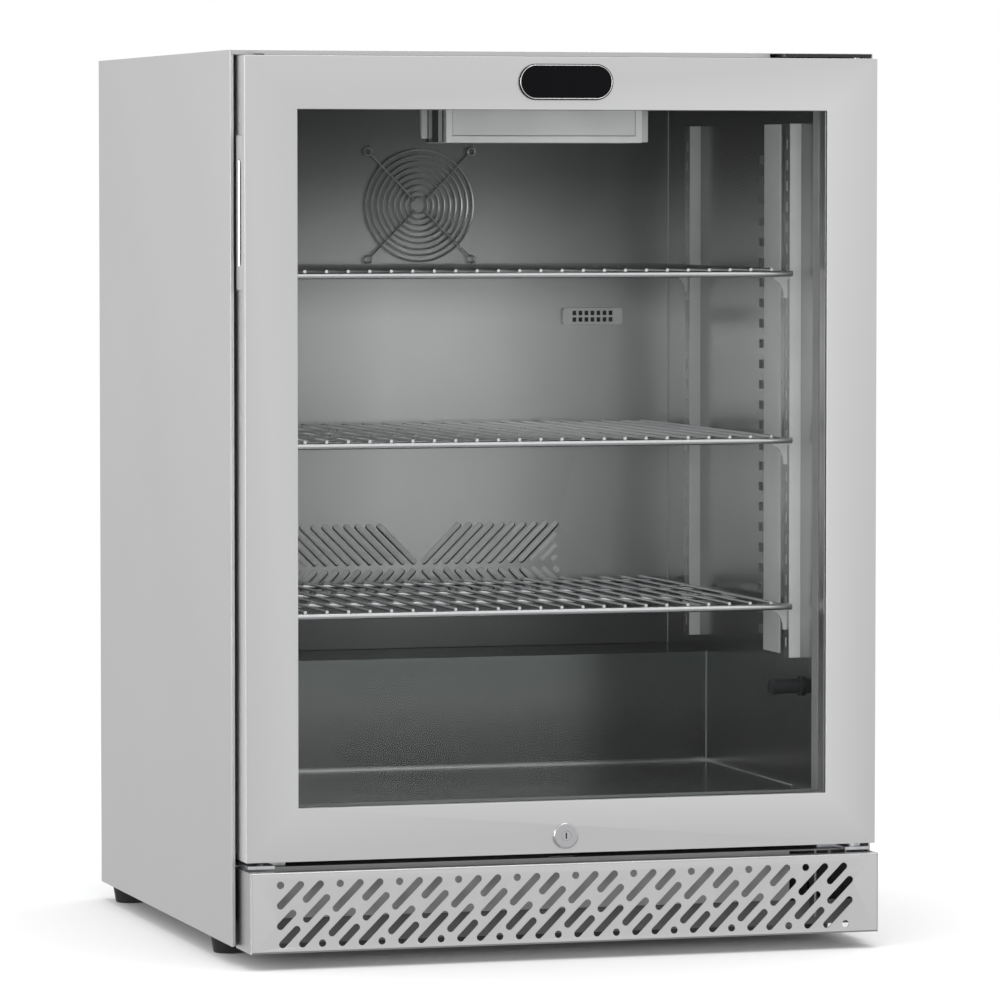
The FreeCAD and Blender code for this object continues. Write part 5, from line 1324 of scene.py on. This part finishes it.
@dataclass
class Shelves:
    """Three wire shelves with their standards and clips."""

    rod_radius: float = 3.0 * MM
    side_radius: float = 2.5 * MM
    wire_radius: float = 1.5 * MM
    pitch: float = 20.0 * MM
    weld_bite: float = 0.6 * MM
    side_gap: float = 1.5 * MM
    strip_from: float = 56.0 * MM
    strip_to: float = 102.0 * MM
    strip_thickness: float = 0.8 * MM
    strip_edge: float = 0.2 * MM
    slot_pitch: float = 19.05 * MM
    mark_width: float = 9.0 * MM
    mark_height: float = 8.0 * MM

    def build(self) -> None:
        """Make the shelves and what holds them."""
        tree = shelf_tree()
        for level in ("top", "middle", "bottom"):
            low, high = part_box(f"shelf_{level}")
            side = high.x - self.side_radius - self.side_gap
            shelf = tree.grow(
                f"wire_shelf_{level}", "wire", Half_width=high.x, Side=side,
                Depth=high.y - low.y - 2 * self.rod_radius, Rod_radius=self.rod_radius,
                Side_radius=self.side_radius, Wire_radius=self.wire_radius, Pitch=self.pitch,
                Over=self.rod_radius + self.wire_radius - self.weld_bite,
                Count=2 * int((side - self.pitch / 2) / self.pitch) + 1)
            placed(shelf, (0.0, low.y + self.rod_radius, low.z + self.rod_radius))
            soften(shelf, 0.0)
            dress(shelf, "wire", f"{level}_shelf", [f"shelf_{level}"])
        standards = refined("shelf_standards", "standard", 0.25)
        # Faces square to X take the darker steel: painted shade on the standards' sides.
        standards.data.materials.append(PALETTE["standard_side"])
        for face in standards.data.polygons:
            if abs(face.normal.x) > 0.7:
                face.material_index = 1
        refined("shelf_clips", "pale", 0.4)
        self.wall_strips()

    def wall_strips(self) -> None:
        """Make the flat wear strips on the side walls, each with its column of flat dark marks that paint the
        shade of slots.
        """
        low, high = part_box("shelf_standards")
        front, back = low.y + self.strip_from, low.y + self.strip_to
        pieces = []
        for side in (-1.0, 1.0):
            wall, face = side * high.x, side * (high.x - self.strip_thickness)
            ends = sorted((wall, face))
            pieces.append(slab("wall_strip", (ends[0], front, low.z), (ends[1], back, high.z), "louvre"))
        strips = joined(pieces, "side_wall_strips")
        soften(strips, self.strip_edge)
        dress(strips, "louvre", "cabinet", [])
        marks = painted_slot_shade_tree().grow(
            "side_wall_painted_slot_shades", "painted_slot_shade",
            Count=int((high.z - low.z - self.slot_pitch) / self.slot_pitch),
            Pitch=self.slot_pitch, Width=self.mark_width, Height=self.mark_height,
            Thickness=self.strip_thickness, Span=2 * high.x - self.strip_thickness)
        placed(marks, (0.0, back + self.mark_width, low.z + self.slot_pitch))
        dress(marks, "painted_slot_shade", "cabinet", [])


@dataclass
class BackWall:
    """Evaporator cover with its louvres, fan guard, fan, coil and probe cover."""

    sheet: float = 1.0 * MM
    hood_radius: float = 2.6 * MM
    hood_flatness: float = 0.45
    slot_radius: float = 2.7 * MM
    slit: float = 1.3 * MM
    short_louvres: int = 3
    pitch: float = 11.0 * MM
    half_span: float = 148.0 * MM
    rise: float = 40.0 * MM
    above_step: float = 80.5 * MM
    row_gap: float = 4.0 * MM
    rings: int = 9
    ring_inner: float = 8.0 * MM
    ring_outer: float = 54.0 * MM
    guard_wire: float = 0.85 * MM
    guard_reach: float = 52.0 * MM
    loop_radius: float = 3.6 * MM
    shadow_inset: float = 2.0 * MM
    shadow_depths: tuple[float, float] = (1.5 * MM, 0.4 * MM)

    def louvres(self, low: float, shift: float, extra: int) -> list[tuple[float, float, float, float]]:
        """Seeds of the slanted louvres: one row leaning out, one leaning back.

        Args:
            low: height of the upper row's lower ends.
            shift: how far each moves square to its own length, upwards.
            extra: how many shorter ones follow at each end, cut off in line with the last long one.

        Returns:
            x, z, reach and turn of each.
        """
        run = self.rise - 2 * self.slot_radius
        count = int((self.half_span - self.rise) / self.pitch) + 1
        edge = self.pitch / 2 + (count - 1) * self.pitch + run
        found = []
        for index in range(count + extra):
            x = self.pitch / 2 + index * self.pitch
            for side in (-1, 1):
                for full, base, lean in ((run, low + self.slot_radius, 1),
                                         (run / 2, low - self.row_gap - self.slot_radius, -1)):
                    length = min(full, edge - x)
                    middle_x = side * (x + length / 2) - side * lean * shift / math.sqrt(2.0)
                    middle_z = base + lean * length / 2 + shift / math.sqrt(2.0)
                    found.append((middle_x, middle_z, length / math.sqrt(2.0), side * lean * SLANT))
        return found

    def build(self) -> None:
        """Make the back wall's pieces."""
        self.cover()
        self.guard()
        # Pale probe cover in the paler louvre finish: painted light.
        refined("probe_cover", "louvre", 0.3)
        self.probe_shadow()
        refined("evaporator_fan_frame", "black_plastic", 0.4)
        refined("evaporator_fan_rotor", "black_plastic", 0.2, body="evaporator_fan")
        repaint("evaporator_coil", "fins")

    def probe_shadow(self) -> None:
        """Make the dark sheet that shows between the probe cover's bars."""
        low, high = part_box("probe_cover")
        inset, (front, back) = self.shadow_inset, self.shadow_depths
        sheet = slab("probe_shadow", (low.x + inset, high.y - front, low.z + inset),
                     (high.x - inset, high.y - back, high.z - inset), "slot_dark")
        dress(sheet, "slot_dark", "cabinet", [])

    def cover(self) -> None:
        """Make the cover and its louvres."""
        low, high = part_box("evaporator_cover")
        middle = (low.z + high.z) / 2
        base = low.z + self.above_step
        sheet = slotted_sheet_tree().grow(
            "cover_sheet", "cover",
            seeds([(x, z - middle, reach, turn) for x, z, reach, turn in self.louvres(base, 0.0, 0)]),
            Width=high.x - low.x, Height=high.z - low.z, Thickness=self.sheet,
            Slot_radius=self.slot_radius)
        placed(sheet, (0.0, low.y + self.sheet, middle), UPRIGHT)
        soften(sheet, 0.0)
        dress(sheet, "cover", "cabinet", ["evaporator_cover"])
        # Hoods in the paler louvre finish: painted highlight.
        hoods = louvre_tree().grow(
            "cover_louvres", "louvre",
            seeds([(x, z - middle, reach, turn)
                   for x, z, reach, turn in self.louvres(base, self.slit, self.short_louvres)]),
            Hood_radius=self.hood_radius, Flatness=self.hood_flatness)
        placed(hoods, (0.0, low.y, middle), UPRIGHT)
        soften(hoods, 0.0)
        dress(hoods, "louvre", "cabinet", [])

    def guard(self) -> None:
        """Make the fan guard."""
        low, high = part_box("fan_guard")
        middle = (low + high) / 2
        spoke_end = self.guard_reach * math.sqrt(2.0) - self.loop_radius
        guard = guard_tree().grow(
            "fan_guard_wires", "guard", Rings=self.rings, Inner=self.ring_inner,
            Step=(self.ring_outer - self.ring_inner) / (self.rings - 1), Wire_radius=self.guard_wire,
            Spoke_end=spoke_end, Loop_radius=self.loop_radius)
        placed(guard, (0.0, low.y + self.guard_wire, middle.z), UPRIGHT)
        soften(guard, 0.0)
        dress(guard, "guard", "cabinet", ["fan_guard"])


@dataclass
class Fittings:
    """Light box and sensor."""

    trim: float = 0.6 * MM
    trim_edge: float = 0.1 * MM
    # Bands across each trim from front to back, with their finish: the slot_dark bands are painted shadow
    # between paler bands.
    trim_rows: tuple[tuple[float, float, str], ...] = (
        (8.0 * MM, 11.5 * MM, "slot_dark"), (11.5 * MM, 24.0 * MM, "louvre"),
        (24.0 * MM, 44.0 * MM, "slot_dark"), (44.0 * MM, 56.0 * MM, "standard_side"),
        (56.0 * MM, 65.0 * MM, "slot_dark"))
    flange: float = 6.0 * MM

    def build(self) -> None:
        """Make the fittings."""
        refined("light_housing", "standard", 0.4)
        refined("light_diffuser", "lens", 0.4)
        self.trims()
        repaint("led_board", "board")
        repaint("control_module", "black_plastic")
        refined("sensor_peg", "black_plastic", 0.6)

    def trims(self) -> None:
        """Make the vertical trims on the light box's ends."""
        low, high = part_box("light_housing")
        left, right = low.x + self.flange, high.x - self.flange
        pieces = []
        for start, end, finish in self.trim_rows:
            pieces.append(slab("light_trim", (left - self.trim, low.y + start, low.z + self.trim),
                               (left, low.y + end, high.z - self.trim), finish))
        pieces.append(slab("light_trim", (right, low.y + 2 * self.trim, low.z + self.trim),
                           (right + self.flange, low.y + 5 * self.trim, high.z - self.trim),
                           "standard_side"))
        trims = joined(pieces, "light_box_trims")
        soften(trims, self.trim_edge)
        dress(trims, "bright", "cabinet", [])


@dataclass
class MachineBay:
    """Compressor, condenser, its fan, the pipes and what stands beside them."""

    def build(self) -> None:
        """Make the machine bay's pieces."""
        refined("compressor", "black_steel", 0.6)
        refined("compressor_mounts", "foot", 0.8)
        refined("condenser", "fins", 0.0)
        refined("condenser_fan_frame", "black_plastic", 0.4)
        refined("condenser_fan_rotor", "black_plastic", 0.2, body="condenser_fan")
        refined("copper_lines", "copper", 0.0)
        refined("filter_drier", "copper", 0.3)
        refined("drip_tray", "black_plastic", 0.4)
        refined("power_inlet", "black_plastic", 0.4)


@dataclass
class Feet:
    """Four levelling feet."""

    edge: float = 0.6

    def build(self) -> None:
        """Make the feet."""
        for end in ("front", "rear"):
            for side in ("left", "right"):
                refined(f"foot_{end}_{side}", "foot", self.edge, body=f"{end}_{side}_foot")


# ------------------------------------------------------------------ studio
@dataclass
class Studio:
    """Pale floor, soft light and the camera."""

    camera_place: Triple = (-1.576, -5.392, 0.6951)
    camera_yaw: float = -16.48
    camera_pitch: float = -3.04
    lens: float = 216.58
    floor_radius: float = 40.0
    floor_near: float = 0.7
    floor_far: float = 2.4
    nadir: float = 0.38
    horizon: float = 0.95
    zenith: float = 1.0

    def build(self) -> None:
        """Make the floor, lamps, world and camera."""
        self.floor()
        self.world()
        self.lamps()
        self.camera()
        bpy.context.scene.view_settings.view_transform = "Standard"

    def floor(self) -> None:
        """Make the floor."""
        bpy.ops.mesh.primitive_circle_add(vertices=64, radius=self.floor_radius, fill_type="NGON")
        floor = bpy.context.object
        floor.name = "studio_floor"
        shader = Shader("studio_floor_white")
        paint = shader.add("ShaderNodeBsdfPrincipled", Roughness=0.9, Specular_IOR_Level=0.1)
        shader.link(shader.blend(shader.noise(3.0, 2.0), grey(0.94), grey(0.95)), paint.inputs["Base Color"])
        white = shader.add("ShaderNodeEmission")
        away = shader.add("ShaderNodeVectorMath", operation="LENGTH")
        fade = shader.add("ShaderNodeMapRange", interpolation_type="SMOOTHSTEP", From_Min=self.floor_near,
                          From_Max=self.floor_far)
        shader.link(shader.place, away.inputs[0])
        shader.link(away.outputs["Value"], fade.inputs["Value"])
        floor.data.materials.append(shader.finished(shader.between(
            fade.outputs["Result"], paint.outputs["BSDF"], white.outputs["Emission"])))
        floor.visible_glossy = False

    def world(self) -> None:
        """Make the surroundings: white to the camera, and darker below the horizon for reflections."""
        world = bpy.data.worlds.new("studio_world")
        world.use_nodes = True
        bpy.context.scene.world = world
        nodes, links = world.node_tree.nodes, world.node_tree.links
        nodes.clear()
        place = nodes.new("ShaderNodeTexCoord")
        height = nodes.new("ShaderNodeSeparateXYZ")
        ramp = nodes.new("ShaderNodeValToRGB")
        shift = nodes.new("ShaderNodeMath")
        shift.operation = "MULTIPLY_ADD"
        shift.inputs[1].default_value = 0.5
        shift.inputs[2].default_value = 0.5
        stops = ramp.color_ramp.elements
        stops[0].color, stops[1].color = (*grey(self.nadir), 1.0), (*grey(self.zenith), 1.0)
        for position, level in ((0.34, self.nadir), (0.5, self.horizon), (0.62, self.horizon)):
            stops.new(position).color = (*grey(level), 1.0)
        soft = nodes.new("ShaderNodeBackground")
        white = nodes.new("ShaderNodeBackground")
        white.inputs["Color"].default_value = (1.0, 1.0, 1.0, 1.0)
        rays = nodes.new("ShaderNodeLightPath")
        mix = nodes.new("ShaderNodeMixShader")
        output = nodes.new("ShaderNodeOutputWorld")
        links.new(place.outputs["Generated"], height.inputs[0])
        links.new(height.outputs["Z"], shift.inputs[0])
        links.new(shift.outputs[0], ramp.inputs["Fac"])
        links.new(ramp.outputs["Color"], soft.inputs["Color"])
        links.new(rays.outputs["Is Camera Ray"], mix.inputs["Fac"])
        links.new(soft.outputs[0], mix.inputs[1])
        links.new(white.outputs[0], mix.inputs[2])
        links.new(mix.outputs[0], output.inputs["Surface"])

    def lamp(self, name: str, place: Triple, target: Triple, size: tuple[float, float], power: float) -> None:
        """Add one soft box.

        Args:
            name: the lamp's name.
            place: its centre.
            target: the point that it faces.
            size: width and height.
            power: watts.
        """
        data = bpy.data.lights.new(name, "AREA")
        data.shape = "RECTANGLE"
        data.size, data.size_y = size
        data.energy = power
        lamp = bpy.data.objects.new(name, data)
        bpy.context.scene.collection.objects.link(lamp)
        lamp.location = place
        lamp.rotation_euler = (Vector(target) - Vector(place)).to_track_quat("-Z", "Y").to_euler()

    def lamps(self) -> None:
        """Make the soft boxes."""
        self.lamp("edge_light", (-4.4, -1.3, 1.1), (0.0, -0.2, 0.4), (0.9, 2.6), 56.0)
        self.lamp("top_light", (0.2, -0.4, 4.2), (0.0, 0.0, 0.4), (2.4, 2.4), 60.0)
        self.lamp("front_light", (-3.0, -5.2, 0.7), (0.1, 0.0, 0.5), (1.2, 1.0), 24.0)

    def camera(self) -> None:
        """Make the camera."""
        data = bpy.data.cameras.new("studio_camera")
        data.lens = self.lens
        data.sensor_width = 36.0
        data.dof.use_dof = False
        data.clip_end = 200.0
        camera = bpy.data.objects.new("studio_camera", data)
        bpy.context.scene.collection.objects.link(camera)
        camera.location = self.camera_place
        camera.rotation_euler = (math.radians(90.0 + self.camera_pitch), 0.0, math.radians(self.camera_yaw))
        bpy.context.scene.camera = camera


def main() -> None:
    """Build the studio and every sub-assembly."""
    logging.basicConfig(level=logging.INFO, format="%(message)s")
    for part in (Studio(), Cabinet(), KickGrille(), Door(), Hinges(), Shelves(), BackWall(), Fittings(),
                 MachineBay(), Feet()):
        part.build()
        LOG.info("%s built", type(part).__name__)


if __name__ == "__main__":
    main()
